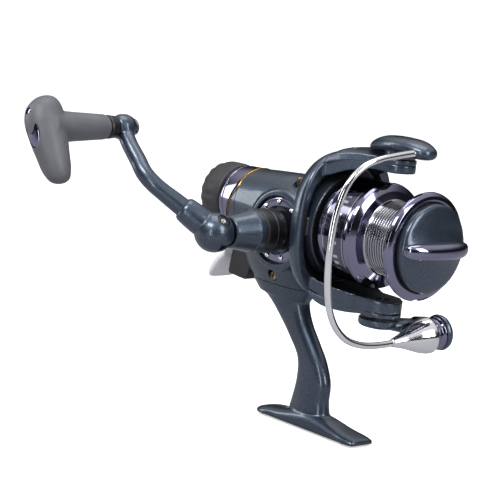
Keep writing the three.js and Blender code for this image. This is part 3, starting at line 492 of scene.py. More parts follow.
BY_SLOT = {
    "slate_paint": SLATE, "gunmetal_chrome": CHROME, "gold_line": GOLD, "bright_chrome": BRIGHT,
    "silver_plastic": PEARL, "black_plastic": BLACK, "knob_rubber": RUBBER, "soft_grip": SOFT, "steel": STEEL,
    "brass": BRASS, "felt": FELT, "nylon": NYLON,
}
for part in frame["record"]["subparts"]:
    node = frame["nodes"][part["node"]]
    node.data.materials.clear()
    node.data.materials.append(BY_SLOT[part["material_slot"]])


# ------------------------------------------------------------------ housing, side cover, stem and foot
NOSE_R = 21.8  # the round front of the housing, inside the rotor
SEAM_Y, SEAM_Z, COVER_X = -2.0, 65.8, (-57.0, -7.4)  # the planes that bound the side cover
SEAM_HALF = 0.17  # half the width of the open joint round it
WALL = 1.1
TRIM_X, TRIM_TILT = -61.2, 0.3  # the gold line's plane at the spool axis, and its lean
DISC_R, DISC_SEAT_Y = 16.5, -16.5
FOOT_HALF = 33.9


def level(rows):
    """Level ovals from rows of height, rear edge, front edge and half width."""
    return [([(a + b) / 2, 0, z], [(b - a) / 2, 0, 0], [0, half, 0]) for z, a, b, half in rows]


def behind_trim(offset):
    """Everything behind the leaning plane of the gold line."""
    low, high = 60, 140
    edge = [(TRIM_X + offset + TRIM_TILT * (z - AXIS_Z), z) for z in (low, high)]
    return prism([edge[0], edge[1], (-130, high), (-130, low)], -40, 40, 1)


SCREWS = {"cover_screw_upper": arr(-19.5, -10.4, 118.8), "cover_screw_lower": arr(-29.5, -10.6, 70.4)}


def body():
    step = -5.6
    barrel = lathe("barrel", [[-68, 15.4], [-58, 16.6], [-44, 18], [-30, 19.2], [-10, 19.9], [step, 19.9],
                              [step, NOSE_R], [4.4, NOSE_R]])
    gearbox = loft("gearbox", level([
        (60, -46, -14, 7.4), (66, -52, -10.5, 9), (72, -55.5, -7, 12.4), (80, -57.5, -3.5, 15.4),
        (88, -58, 0.8, 16.5), (97, -57, 1, 16.5), (106, -54, -0.5, 15.6), (113, -49, -5, 12.6),
        (118, -44, -10, 8)]), square=0.82)
    carve(gearbox, lathe("around", [[step, NOSE_R], [step, 60], [30, 60], [30, NOSE_R]], ring=True, corner=0))
    panel = lathe("panel", [[-19.6, 19.4], [-17.7, 20.1], [-12, 20.6]], along=Y, origin=DRIVE)
    carve(panel, box((COVER_X[0] + 2, -60, 60), (COVER_X[1] - 1, 0, 130)), operation="INTERSECT")
    stem = loft("stem", level([
        (2, -17.6, 9.6, 7), (5, -16.6, 8.6, 6.2), (9, -15.8, 7.8, 5.9), (13, -15, 7, 5.5), (23, -13.7, 6.7, 5.1),
        (32.5, -14.8, 2.4, 5), (41, -21.6, -4, 5), (49.4, -29.8, -10.6, 5.3), (57.8, -39.6, -14.4, 6.2),
        (62, -46, -14.6, 7.4), (67, -48, -14, 8)]))
    toe = [(1.004, 2.3, 6.2), (0.985, 2.7, 7.5), (0.93, 3.1, 8.2), (0.6, 4.8, 8.3), (0.2, 7.4, 8.3), (0, 8, 8.3)]
    both = toe + [(-share, ridge, half) for share, ridge, half in toe[-2::-1]]
    foot = loft("foot", [([FOOT_HALF * share, 0, 0], [0, half, 0], [0, 0, ridge]) for share, ridge, half in both],
                square=0.62)
    carve(foot, box((-50, -20, -30), (50, 20, 0)))
    shell = joined("fine_body", barrel, gearbox, panel, stem, foot)
    melted(shell, 0.62, 7)
    carve(
        shell,
        behind_trim(0.4),
        box((-50, -20, -30), (50, 20, 0.02)),
        rod(DRIVE + Y * -40, DRIVE + Y * DISC_SEAT_Y, DISC_R + 0.4, 96),
        rod(DRIVE + Y * 17.2, DRIVE + Y * 40, 8.6, 64),
        *[rod(head - Y * 9, head + Y * 1.6, 2.9, 32) for head in SCREWS.values()],
    )
    return shell


def split_cover(shell):
    """Cuts the skin along the seam into housing and cover, with a narrow open joint between them."""
    bm = bmesh.new()
    bm.from_mesh(shell.data)
    planes = [(X, c) for c in COVER_X] + [(Y, SEAM_Y), (Z, SEAM_Z)]
    for normal, place in planes:
        for side in (-SEAM_HALF, SEAM_HALF):
            geometry = bm.verts[:] + bm.edges[:] + bm.faces[:]
            point = tuple(normal * (place + side) * MM)
            bmesh.ops.bisect_plane(bm, geom=geometry, plane_co=point, plane_no=tuple(normal))
    pieces = {}
    for name, keep_cover in (("fine_housing", False), ("fine_cover", True)):
        copy = bm.copy()
        unwanted = []
        for face in copy.faces:
            c = np.array(face.calc_center_median()) / MM
            depth = min(c[0] - COVER_X[0], COVER_X[1] - c[0], SEAM_Y - c[1], c[2] - SEAM_Z)
            if (keep_cover and depth < SEAM_HALF) or (not keep_cover and depth > -SEAM_HALF):
                unwanted.append(face)
        bmesh.ops.delete(copy, geom=unwanted, context="FACES")
        mesh = bpy.data.meshes.new(name)
        copy.to_mesh(mesh)
        copy.free()
        obj = linked(name, mesh)
        rim = obj.modifiers.new("rim", "SOLIDIFY")
        rim.thickness = WALL * MM
        rim.offset = -1
        pieces[name] = applied(obj)
    bm.free()
    discard(shell)
    return pieces


halves = split_cover(body())
dressed(halves["fine_housing"], SLATE, "body", "body_housing", slot="slate_paint")
dressed(halves["fine_cover"], SLATE, "body", "side_cover", slot="slate_paint")


def cross_head(name, head, inward, radius, depth):
    """A domed screw head with a cross recess."""
    w = unit(inward)
    u, v = across(inward)
    screw = lathe(name, [[0.35, 0], [0.1, radius * 0.7], [0.45, radius], [depth, radius]], along=inward,
                  origin=head, sides=48, corner=0.15)
    arms = []
    for a, b in ((u, v), (v, u)):
        corners = [head + w * d + a * i * radius * 0.62 + b * j * radius * 0.14
                   for d in (-1, 0.9) for i, j in ((-1, -1), (1, -1), (1, 1), (-1, 1))]
        arms.append(skin("slot", [corners[:4], corners[4:]]))
    return carve(screw, *arms)


for name, head in SCREWS.items():
    dressed(cross_head("fine_" + name, head - Y * 0.3, Y, 2.45, 3), BRASS, "body", name, slot="brass")


# ------------------------------------------------------------------ side trim disc
DOMES = 9
DOME_CIRCLE_R = 13.9


def about_drive(name, profile, **options):
    return lathe(name, profile, along=Y, origin=DRIVE, **options)


def disc_domes():
    domes = []
    for i in range(DOMES):
        angle = 2 * math.pi * (i + 0.3) / DOMES
        centre = DRIVE + arr(DOME_CIRCLE_R * math.cos(angle), 0, DOME_CIRCLE_R * math.sin(angle))
        domes.append(lathe("dome", [[-20, 0], [-19.9, 0.7], [-19.4, 1.3], [-18.6, 1.5]], along=Y, origin=centre,
                           sides=32))
    return joined("fine_disc_domes", *domes)


def disc_gap_shade():
    """The dark line between the disc and the side cover: a black ring set into the gap as painted shade."""
    inner, outer = DISC_R + 0.05, DISC_R + 0.38
    profile = [[-18.35, inner], [-18.35, outer], [-16.7, outer], [-16.7, inner]]
    return about_drive("fine_disc_line", profile, ring=True, sides=128, corner=0)


disc = about_drive("disc", [[-18.9, 11.6], [-19, 12.4], [-18.9, 15.2], [-18.2, DISC_R], [-16.8, DISC_R],
                            [-16.8, 11.6]], ring=True, sides=128)
dressed(disc, CHROME, "body", "side_trim_disc", slot="gunmetal_chrome")
dressed(disc_domes(), BRIGHT, "body", slot="bright_chrome")
dressed(disc_gap_shade(), SHADE_AND_SCREW_BLACK, "body", slot="black_plastic")
far_cap = about_drive("fine_far_cap", [[17.4, 8.2], [18.9, 8.2, 0.5], [20.2, 7, 0.6], [20.6, 4, 0.8], [20.9, 0]])
dressed(far_cap, CHROME, "drive", "far_side_cap", slot="gunmetal_chrome")

# ------------------------------------------------------------------ rear drag
collar = lathe("fine_collar", [
    [-69.6, 9.7], [-69.6, 15.2], [-69.1, 15.9], [-66.7, 16.3], [-66.5, 15.9], [-66.2, 15.9], [-66, 16.4],
    [-54, 17], [-54, 14], [-64, 13.8], [-64, 9.7]], ring=True, sides=160, corner=0.18)
carve(collar, behind_trim(-0.55), operation="INTERSECT")
dressed(collar, CHROME, "body", "rear_collar", slot="gunmetal_chrome")


def gold_line():
    """The thin gold line follows the leaning joint and swings forward once on each side."""
    swing_by, swing_up, swing_width = 1.9, 0.42, 0.26
    points = []
    for angle in turns(96):
        up, side = math.sin(angle), math.cos(angle)
        swing = swing_by * math.exp(-(((up - swing_up) / swing_width) ** 2)) * abs(side)
        x = TRIM_X + TRIM_TILT * 16.6 * up + swing
        radius = 16.25 + 0.11 * (x - TRIM_X) + 0.02 * up
        points.append((x, radius * side, AXIS_Z + radius * up))
    loops = []
    count = len(points)
    for i, point in enumerate(points):
        tangent = unit(np.subtract(points[(i + 1) % count], points[i - 1]))
        out = unit(arr(0, point[1], point[2] - AXIS_Z))
        flat = np.cross(tangent, out)
        wide, high = flat * 0.3, out * 0.36
        loops.append([np.asarray(point) + wide * math.cos(a) + high * math.sin(a) for a in turns(8)])
    return skin("fine_gold", loops, closed=True)


dressed(gold_line(), GOLD, "body", "gold_trim", slot="gold_line")

KNOB_RIBS = 18
FLUTE_DEPTH = 0.028  # as a share of the radius


def ribbed(a, angle):
    """Flutes round the rear knob that run out before its front edge."""
    depth = FLUTE_DEPTH * float(np.interp(a, [-85.6, -84.2, -76, -73.2], [0.75, 1, 1, 0]))
    wave = 0.5 + 0.5 * math.cos(KNOB_RIBS * angle)
    return 1 - depth * wave**1.3


def rear_knob():
    back = [[-85.4, 0], [-85.5, 11.4], [-85.3, 13.6, 0.8], [-84, 14.9, 1], [-82.4, 15.6]]
    grip_a, grip_r = [-82.4, -79, -75, -72], [15.6, 16.4, 16.6, 16.35]
    middle = [[a, float(np.interp(a, grip_a, grip_r))] for a in np.arange(-81.6, -72, 0.8)]
    front = [[-71.2, 16.2, 0.5], [-70.3, 15.8, 0.3], [-70, 15, 0.2], [-70, 0]]
    return lathe("fine_rear_knob", back + middle + front, sides=288, reach=ribbed, corner=0.4)


dressed(rear_knob(), RUBBER, "rear_knob", "rear_drag_knob", slot="knob_rubber", crease=60)
rear_face = lathe("fine_rear_face", [[-85.72, 0], [-85.7, 9.6], [-85.4, 10.2], [-84.6, 10.2]], corner=0.2)
dressed(rear_face, CHROME, "rear_knob", slot="gunmetal_chrome")

# ------------------------------------------------------------------ lever and its shroud
LEVER = arr(-60.5, 0, 75)  # the lever's pivot, which runs along Y
LEVER_LEAN = math.radians(48)


def shroud():
    corners = [(-66.5, 63.6), (-53, 62.6), (-50, 72), (-52, 82), (-58, 85.6), (-63, 83.6), (-65, 76)]
    piece = prism(rounded(corners, 2, True), -6.5, 6.5, 1)
    carve(piece, box((-72, -3, 66.4), (-57.2, 3, 92)))
    return melted(piece, 0.32, 3)


def lever():
    blade = [(-62.6, 77.8, 1.7, 8.4), (-64.4, 76.6, 2, 8.9), (-67.6, 74.2, 2.2, 9.4), (-71, 70.8, 2.4, 9.6),
             (-74, 67.2, 2.4, 9.6), (-76.6, 63.4, 2.2, 9.3), (-78.2, 60.6, 1.8, 8.6), (-78.7, 59.8, 1.4, 8)]
    across_blade = arr(-math.sin(LEVER_LEAN), 0, math.cos(LEVER_LEAN))
    rows = [([x, 0, z], [0, half, 0], across_blade * thick) for x, z, thick, half in blade]
    piece = loft("blade", rows, square=0.6)
    for side in (1, -1):
        low, high = sorted((side * 2.7, side * 14))
        carve(piece, box((-67.6, low, 60), (-48, high, 92)))
    hinge = rod(LEVER - Y * 2.4, LEVER + Y * 2.4, 3)
    tongue = joined("tongue", hinge, box((-69.6, -2.4, 72.8), (LEVER[0], 2.4, 76.2)))
    return melted(joined("fine_lever", piece, tongue), 0.3, 7)


dressed(shroud(), BLACK, "body", "lever_shroud", slot="black_plastic", crease=0)
dressed(lever(), PEARL, "lever", "drag_lever", slot="silver_plastic", crease=0)

# ------------------------------------------------------------------ spool
GROOVES = 10
ARBOR_X = (35.2, 50.6)


def spool():
    """Smoked chrome, except for the marked skirt, the silver arbor and the recesses, which are painted black as
    shade.
    """
    arbor = []
    pitch = (ARBOR_X[1] - ARBOR_X[0]) / GROOVES
    for i in range(GROOVES):
        x = ARBOR_X[0] + i * (ARBOR_X[1] - ARBOR_X[0]) / GROOVES
        arbor += [[x, 17.95, 0.1], [x + 0.3 * pitch, 18.1, 0.2], [x + 0.6 * pitch, 18.1, 0.2],
                  [x + 0.78 * pitch, 16.9, 0.15]]
    profile = [
        [26, 2.2], [26, 6.4], [30.2, 8], [30.2, 21.4], [29, 23.4], [10.7, 23.4], [10.4, 24, 0.2],
        [10.5, 24.8, 0.3], [11.3, 25.15], [13.2, 25.15], [13.4, 24.85], [13.8, 24.85], [14, 25.1], [27.6, 25.1],
        [28, 25.4, 0.4], [29.8, 25.6, 0.8], [31.4, 25.1, 1], [33.2, 22, 1.6], [34.4, 18.2, 0.8],
        *arbor,
        [51.2, 18.2, 0.6], [52, 21, 1.5], [53, 24.2, 1.4], [54.2, 25.7, 0.8], [55.1, 26, 0.8], [56.4, 25.6, 0.8],
        [57.5, 24.2, 0.9], [57.8, 22.8, 0.5], [57.8, 21.8, 0.2], [56.9, 21.5, 0.2], [56.8, 19.4], [53, 19.3],
        [53, 15.4], [42, 15.4], [42, 2.2]]
    piece = lathe("fine_spool", profile, ring=True, sides=192, corner=0.25)
    dressed(piece, None, "spool_body", "spool", slot="gunmetal_chrome", crease=50)
    for material in (CHROME, SKIRT, ARBOR, SHADE_AND_SCREW_BLACK):
        piece.data.materials.append(material)
    for face in piece.data.polygons:
        x, y, z = np.array(face.center) / MM
        radius = math.hypot(y, z - AXIS_Z)
        in_skirt = x < 30.4 and radius < 24.2
        in_front = (x > 52.9 and radius < 19.6) or (x > 56 and radius < 21.7)
        if 34.3 < x < 51.3 and radius > 16:
            face.material_index = 2
        elif 13.9 < x < 27.7 and radius > 24.5:
            face.material_index = 1
        # painted shade: the bore, the inside of the skirt and the front recess are made near-black
        elif radius < 17 or in_skirt or in_front:
            face.material_index = 3


spool()
# A near-black ring set into the gap between the spool and the front knob as painted shade.
gap_shade_ring = lathe("fine_gap_ring", [[56.2, 18.6], [57.5, 18.6], [57.5, 21.4], [56.2, 21.4]], ring=True,
                 sides=128, corner=0.1)
dressed(gap_shade_ring, SHADE_AND_SCREW_BLACK, "front_knob", slot="black_plastic")


# ------------------------------------------------------------------ front drag knob
KNOB_R, KNOB_SIDES = 21.2, 160


def knob_disc():
    """A shallow dome whose middle swells into a ridge that carries the bar."""
    radii = [0.001, 2, 4, 6, 8, 10, 12, 14, 16, 18, 19.4, 20.3, 20.9, 21.15, 21.2]
    lift = [64.3, 64.28, 64.2, 64.1, 64, 63.85, 63.65, 63.4, 63.1, 62.75, 62.45, 62.1, 61.6, 61.1, 60.6]
    loops = []
    for radius, x in zip(radii, lift):
        loop = []
        for angle in turns(KNOB_SIDES):
            y, z = radius * math.cos(angle), radius * math.sin(angle)
            fall = max(0.0, 1 - (radius / KNOB_R) ** 4)
            ridge = 2.3 * math.exp(-((z / 5.2) ** 2)) * fall
            loop.append((x + ridge, y, AXIS_Z + z))
        loops.append(loop)
    for x, radius in ((58.2, KNOB_R), (58, 21), (58, 18.4), (53.4, 18.4), (53.4, 14.4), (47.6, 14.4)):
        loops.append([(x, radius * math.cos(a), AXIS_Z + radius * math.sin(a)) for a in turns(KNOB_SIDES)])
    return skin("fine_front_knob", loops)


def knob_bar():
    """Rows of distance from the middle, back, front and half height. The other end is the same."""
    end = [(20.5, 62.2, 63.4, 0.9), (20.3, 61.4, 64.8, 2), (19.4, 61, 66.2, 2.9), (17, 61, 67.7, 3.6),
           (12, 61, 69.6, 4), (6, 61, 70.7, 4.1)]
    rows = [(-y, a, b, half) for y, a, b, half in end] + [(0, 61, 71, 4.15)] + end[::-1]
    ovals = [([(a + b) / 2, y, AXIS_Z], [(b - a) / 2, 0, 0], [0, 0, half]) for y, a, b, half in rows]
    return loft("fine_bar", ovals, sides=48, square=0.86)


dressed(knob_disc(), SLATE, "front_knob", "front_drag_knob", slot="slate_paint", crease=45)
dressed(knob_bar(), CHROME, "front_knob", "front_knob_bar", slot="gunmetal_chrome", crease=0)


# ------------------------------------------------------------------ rotor
PIVOT_X = 34  # where the bail turns, on top and below
CLEAR = (26.8, 29.6)  # half width and half height of the room for the spool's skirt
LOWER_END_R, UPPER_END_R = 10, 8


def hoop(rows):
    """A squarish tube about the spool axis, from rows of distance along, half width and half height."""
    ovals = [([x, 0, AXIS_Z], [0, wide, 0], [0, 0, high]) for x, wide, high in rows]
    return loft("hoop", ovals, 112, 0.75, 4)


def bezier(a, b, c):
    s = np.linspace(0, 1, 10)[:, None]
    return list((1 - s) ** 2 * arr(*a) + 2 * s * (1 - s) * arr(*b) + s * s * arr(*c))


def arm_outline(end_r, flare, rear):
    """A rotor arm seen from above: wide at the cup, round at the pivot."""
    near = bezier((rear, -18 - flare), (14, -13 - flare / 2), (PIVOT_X - 8, -end_r))
    half_turn = np.linspace(-math.pi / 2, math.pi / 2, 25)
    end = [arr(PIVOT_X + end_r * math.cos(a), end_r * math.sin(a)) for a in half_turn]
    far = [p * arr(1, -1) for p in reversed(near)]
    return [tuple(p) for p in near + end + far]


def pivot(z0, z1, radius):
    return rod((PIVOT_X, 0, z0), (PIVOT_X, 0, z1), radius)


def arm_bar(side):
    """side is 1 for the upper arm and -1 for the lower one."""
    end_r = UPPER_END_R if side > 0 else LOWER_END_R
    room_wide, room_high = CLEAR
    inner = 31.4 if side > 0 else room_high
    bar = hoop([[-1, 30.4, 33.4], [4.6, 30.7, 35.3], [46, 30.7, 35.3]])
    low, high = (AXIS_Z, AXIS_Z + 60) if side > 0 else (AXIS_Z - 60, AXIS_Z)
    carve(bar, prism(arm_outline(end_r, 4, 0), low, high, 2), operation="INTERSECT")
    return carve(bar, hoop([[-2, *CLEAR], [4, *CLEAR], [18, room_wide, inner], [48, room_wide, inner]]))


def rotor_hub():
    return rod((-2, 0, AXIS_Z), (8, 0, AXIS_Z), 26, 96)


def rotor():
    cup = hoop([[-4.9, 25.6, 26.8], [-4.2, 28, 30.6], [-2.4, 30, 34], [0.4, 30.8, 35.8], [3.9, 30.9, 36.2],
                [4.6, 30.3, 35.6]])
    channel = carve(hoop([[-0.6, *CLEAR], [12, *CLEAR]]), rotor_hub())
    carve(cup, channel)
    piece = melted(joined("fine_rotor", cup, rotor_hub(), arm_bar(1), arm_bar(-1)), 0.5, 5)
    return carve(
        piece,
        rod((-10, 0, AXIS_Z), (5, 0, AXIS_Z), 22.8, 96),
        rod((0, 0, AXIS_Z), (10, 0, AXIS_Z), 4.7),
        pivot(40, 160, 2.3),
        pivot(66, 73.2, 3.3),
    )


def arm_cover(side):
    upper = [(4.9, 36.4), (5.6, 37.7), (8, 38.8), (14, 39), (24, 38.2), (46, 37.8)]
    lower = [(4.9, 36.4), (5.6, 37.8), (8, 39.2), (14, 39.6), (22, 39), (28, 38), (46, 37.5)]
    shell = hoop([[x, 32, high] for x, high in (upper if side > 0 else lower)])
    carve(shell, hoop([[0, 31, 35.6], [50, 31, 35.6]]))
    low, high = (AXIS_Z + 18, AXIS_Z + 60) if side > 0 else (AXIS_Z - 60, AXIS_Z - 18)
    end_r = UPPER_END_R if side > 0 else LOWER_END_R
    carve(shell, prism(arm_outline(end_r, 3, 4.9), low, high, 2), operation="INTERSECT")
    shell.name = "fine_upper_cover" if side > 0 else "fine_lower_cover"
    melted(shell, 0.3, 3)
    if side > 0:
        carve(shell, *[rod((9.4, y, 135), (9.4, y, 145), 2, 32) for y in (-5.4, 5.4)])
    return shell


def shade_inside(obj):
    """The faces of the rotor that look at the spool are black: painted shade inside the rotor."""
    obj.data.materials.append(BLACK)
    for face in obj.data.polygons:
        x, y, z = np.array(face.center) / MM
        inward = -(face.normal[1] * y + face.normal[2] * (z - AXIS_Z)) / math.hypot(y, z - AXIS_Z)
        facing_spool = x < 9 and math.hypot(y, z - AXIS_Z) < 29 and face.normal[0] > 0.5
        if inward > 0.45 or facing_spool:
            face.material_index = 1


fine_rotor = rotor()
dressed(fine_rotor, SLATE, "rotor_body", "rotor", slot="slate_paint")
shade_inside(fine_rotor)
dressed(arm_cover(1), SLATE, "rotor_body", "upper_arm_cover", slot="slate_paint", crease=50)
dressed(arm_cover(-1), SLATE, "rotor_body", "lower_arm_cover", slot="slate_paint", crease=50)
for name, y in (("near", -5.4), ("far", 5.4)):
    screw = cross_head("fine_arm_screw_" + name, arr(9.4, y, AXIS_Z + 39), -Z, 1.65, 1.4)
    dressed(screw, STEEL, "rotor_body", "arm_cover_screw_" + name, slot="steel")
screw = cross_head("fine_pivot_screw", arr(PIVOT_X, 0, 58.1), Z, 3.7, 2)
dressed(screw, STEEL, "rotor_body", slot="steel")

# ------------------------------------------------------------------ bail
APEX = arr(50.2, -7, 55.3)  # the small end of the roller cone
ROLL = unit((0.08, 0.988, 0.126))  # the line roller's axis, from the cone to the end plate
CONE, ROLLER = 23.0, 4.8  # lengths along that axis
PLATE = CONE + ROLLER + 0.6  # where the end plate starts


def about_roller(name, profile, **options):
    return lathe(name, profile, along=ROLL, origin=APEX, **options)


def roller_space(start, start_r, end_r):
    """The room that an arm leaves for the cone and the roller."""
    return about_roller("clear", [[start, start_r], [14, 8.2], [CONE, end_r], [PLATE - 0.01, end_r]], corner=0)


def lower_bail_arm():
    path = [(22.8, -2.4, 61.4, 0.2, -0.6, 0.5), (24.2, -1.9, 61.3, 0.4, -2.6, 1),
            (26.4, -1, 61.2, 0.8, -5.6, 1.5), (30, 0, 61.1, 1, -8.6, 2), (36, 3, 61.2, 4, -8.4, 2.5),
            (40.2, 9, 60.7, 5, -4.6, 3.4), (41.2, 15, 60.2, 4.6, -1.6, 4.2), (42.6, 20.2, 59.8, 4.2, 0.6, 4.8),
            (45.4, 23.6, 59.4, 3.4, 2.2, 5.6), (48, 24.6, 59.2, 1.6, 1.8, 5.8)]
    blade = loft("blade", [([x, y, z], [hx, hy, 0], [0, 0, hz]) for x, y, z, hx, hy, hz in path], sides=48)
    carve(blade, roller_space(3, 4.6, 9.5))
    hub = lathe("hub", [[0, 8.6], [0.5, 9.6, 0.6], [1.4, 10, 0.5], [4.4, 10]], along=Z,
                origin=arr(PIVOT_X, 0, 59.2))
    piece = melted(joined("fine_lower_arm", blade, hub), 0.42, 6)
    above = box((0, -30, AXIS_Z - 39.1), (60, 18, AXIS_Z))
    return carve(piece, above, pivot(50, 60.5, 4.1), roller_space(6, 5.6, 9.2))


def upper_bail_arm():
    bean = [(14.2, 1, 142.6, 0.6), (14.9, 1, 142.7, 1.8), (17, 1, 143.2, 4.2), (20, 1, 144.1, 6),
            (24, 1, 145, 7.4), (31, 0.6, 145.9, 8.6), (39, 0, 146.2, 8.8), (46, -0.6, 145.9, 8),
            (50.6, -1, 145.4, 6.4), (53.4, -1, 145, 4.6), (54.4, -1, 144.8, 3), (54.7, -1, 144.7, 1.4)]
    rows = [([x, y, z], [0, half, 0], [0, 0, min(half * 0.52 + 0.3, 4.3)]) for x, y, z, half in bean]
    shape = loft("bean", rows, 64, 0.92)
    carve(shape, box((0, -20, 120), (24.6, 20, AXIS_Z + 39.35)))
    piece = melted(joined("fine_upper_arm", shape, pivot(AXIS_Z + 38, 145, 7.3)), 0.4, 6)
    return carve(piece, pivot(146.3, 160, 3.8))


def bail_wire():
    route = [(48.6, -3, 145.1), (48.7, -10, 144.6), (48.6, -20, 143.4), (48, -29, 141.8), (46.8, -37.5, 138.4),
             (45.2, -44.5, 130.6), (44.3, -48.4, 119), (44.2, -50, 106), (44.5, -50.2, 94), (45.2, -49.4, 82),
             (46.2, -47.4, 72), (47.5, -43.6, 64.4), (49, -37.6, 58.8), (50.2, -29, 55.9), (50.5, -20, 55),
             (50.3, -12, 55), (50.22, -7.4, 55.25)]
    return sweep("fine_wire", route, 1.6, sides=32, steps=10)


def roller_cone():
    return about_roller("fine_cone", [
        [-0.5, 0], [-0.45, 1.7, 0.3], [0.2, 2.15, 0.4], [1.6, 2.5, 0.6], [4, 3.1, 1], [8, 4.5, 2], [12, 6.1, 3],
        [16, 7.6, 3], [19.6, 8.55, 2], [21.8, 8.75, 0.8], [22.7, 8.3, 0.4], [22.9, 7.4], [22.9, 0]], sides=144)


def end_plate():
    return about_roller("fine_plate", [
        [PLATE, 0], [PLATE, 7.9, 0.3], [PLATE + 0.4, 8.5, 0.4], [PLATE + 1.6, 8.75, 0.8], [PLATE + 3.1, 8.2, 1],
        [PLATE + 4.4, 6.6, 1], [PLATE + 5, 3.6, 1], [PLATE + 5.1, 0]], sides=128)


dressed(lower_bail_arm(), SLATE, "bail", "lower_bail_arm", slot="slate_paint", crease=50)
dressed(end_plate(), SLATE, "bail", slot="slate_paint")
dressed(upper_bail_arm(), SLATE, "bail", "upper_bail_arm", slot="slate_paint", crease=50)
screw = cross_head("fine_upper_pivot_screw", arr(PIVOT_X, 0, 148), -Z, 3.5, 1.6)
dressed(screw, STEEL, "rotor_body", slot="steel")
dressed(bail_wire(), BRIGHT, "bail", "bail_wire", slot="bright_chrome", crease=0)
dressed(roller_cone(), BRIGHT, "bail", "roller_cone", slot="bright_chrome")
roller = about_roller("fine_roller", [
    [CONE + 0.15, 3.2], [CONE + 0.15, 7.8, 0.2], [CONE + 0.5, 8.1, 0.3], [CONE + 1, 7.9, 0.4],
    [CONE + 1.7, 7.1, 0.8], [CONE + 3.3, 7.1, 0.8], [CONE + 4.1, 7.9, 0.4], [CONE + 4.6, 8.1, 0.3],
    [PLATE - 0.3, 7.8, 0.2], [PLATE - 0.3, 3.2]], ring=True, sides=128, corner=0.1)
dressed(roller, CHROME, "roller", "line_roller", slot="gunmetal_chrome")

# ------------------------------------------------------------------ crank
ANGLE = math.radians(138.7)
OUT = arr(math.cos(ANGLE), 0, math.sin(ANGLE))  # from the drive axis towards the grip
FOLD = arr(OUT[2], 0, -OUT[0])  # the fold hinge's axis
BALL = DRIVE - Y * 60
BALL_R = 9.6
BEND = DRIVE - Y * 83.5 + OUT * 31.5
TIP = DRIVE - Y * 82 + OUT * 63.9
ARM = unit(BEND - BALL)
TONGUE_HALF, SLOT_HALF = 1.8, 2.1


def fold_slab(half, outline):
    """A slab across the fold axis, from an outline of distances along OUT and Y."""
    rows = [[BALL + OUT * out + Y * y + FOLD * side for out, y in outline] for side in (-half, half)]
    return skin("slab", rows)


def fold_rod(a, b, radius):
    return rod(BALL + FOLD * a, BALL + FOLD * b, radius)


def round_ball(radius):
    return lathe("ball", [[-radius * math.cos(t), radius * math.sin(t), 0] for t in np.linspace(0, math.pi, 33)],
                 along=FOLD, origin=BALL, sides=64)


def shank():
    cone = about_drive("cone", [
        [-51.6, 0], [-51.6, 7.2, 0.4], [-51, 7.7, 0.5], [-45, 8.9, 2], [-38.6, 10.1, 1], [-38.2, 10.45, 0.3],
        [-34.8, 10.5, 0.4], [-34.35, 10.1], [-34.35, 0]], sides=128)
    carve(cone, round_ball(BALL_R + 0.45))
    slab = fold_slab(TONGUE_HALF, [(-5.3, 0), (5.3, 0), (5.3, 12), (-5.3, 12)])
    tongue = joined("tongue", slab, fold_rod(-TONGUE_HALF, TONGUE_HALF, 5.3))
    return joined("fine_shank", cone, melted(tongue, 0.3, 2))


def collar_ring():
    return about_drive("fine_crank_collar", [
        [-34, 3.5], [-34, 10, 0.3], [-33.2, 10.5, 0.5], [-28.4, 10.7, 0.3], [-28.2, 10.45, 0.1],
        [-27.8, 10.45, 0.1], [-27.6, 10.75, 0.3], [-22.4, 10.85, 0.5], [-21.5, 10.3, 0.4], [-21.4, 9.4],
        [-17.2, 9.4], [-17.2, 3.5]],
        ring=True, sides=128)


def knuckle():
    ball = round_ball(BALL_R)
    ferrule = lathe("ferrule", [[4, 6.6], [9, 6.75, 2], [14, 6.5, 2], [17.3, 6.15, 0.5], [18.6, 5.6, 0.5],
                                [19, 4.9]], along=ARM, origin=BALL, sides=64)
    piece = melted(joined("fine_knuckle", ball, ferrule), 0.36, 5)
    swing = [(5.7, -5.7), (-3, -5.7), (-14, 0.9), (-14, 14), (5.7, 14)]  # room for the tongue as it folds
    return carve(piece, fold_slab(SLOT_HALF, swing), fold_rod(7.6, 20, 3.5))


def arm():
    path = [BALL + ARM * 17, BALL + ARM * 24, BALL + ARM * 31, BEND - ARM * 3.4 + OUT * 0.6,
            BEND + OUT * 4.2 - Y * 0.2, BEND + OUT * 12, BEND + OUT * 22, TIP]
    sizes = [4.7, 4.5, 4.2, 4.15, 4.1, 4, 3.9, 4]
    bar = sweep("bar", path, sizes, sides=40, steps=8)
    boss = lathe("boss", [[-5.2, 0], [-5.2, 3.6, 0.3], [-4.4, 5.1, 1], [-1.8, 6.2, 2], [1.8, 6.2, 2],
                          [4.4, 5.1, 1], [5.2, 3.6, 0.3], [5.2, 0]], along=Y, origin=TIP, sides=64)
    return melted(joined("fine_arm", bar, boss), 0.36, 7)


dressed(collar_ring(), BLACK, "drive", "crank_collar", slot="black_plastic")
dressed(shank(), SLATE, "drive", "crank_shank", slot="slate_paint")
dressed(knuckle(), SLATE, "crank", "knuckle", slot="slate_paint")
dressed(arm(), SLATE, "crank", "crank_arm", slot="slate_paint", crease=0)
fold_head = cross_head("fine_fold_screw", BALL + FOLD * 9, -FOLD, 3.3, 1.4)
dressed(fold_head, SHADE_AND_SCREW_BLACK, "crank", slot="black_plastic")
fold_pin = lathe("fine_fold_pin", [[8.3, 0], [9.05, 0.9, 0.2], [8.9, 1.5], [8.2, 1.5]], along=FOLD,
                 origin=BALL, sides=32)
dressed(fold_pin, STEEL, "crank", "fold_screw", slot="steel")

# ------------------------------------------------------------------ T grip
LEAN = math.radians(28)
BAR = arr(-math.sin(LEAN), 0, math.cos(LEAN))
BAR_SIDE = arr(math.cos(LEAN), 0, math.sin(LEAN))
GRIP_Y = -128


def on_tip(y):
    return arr(TIP[0], y, TIP[2])


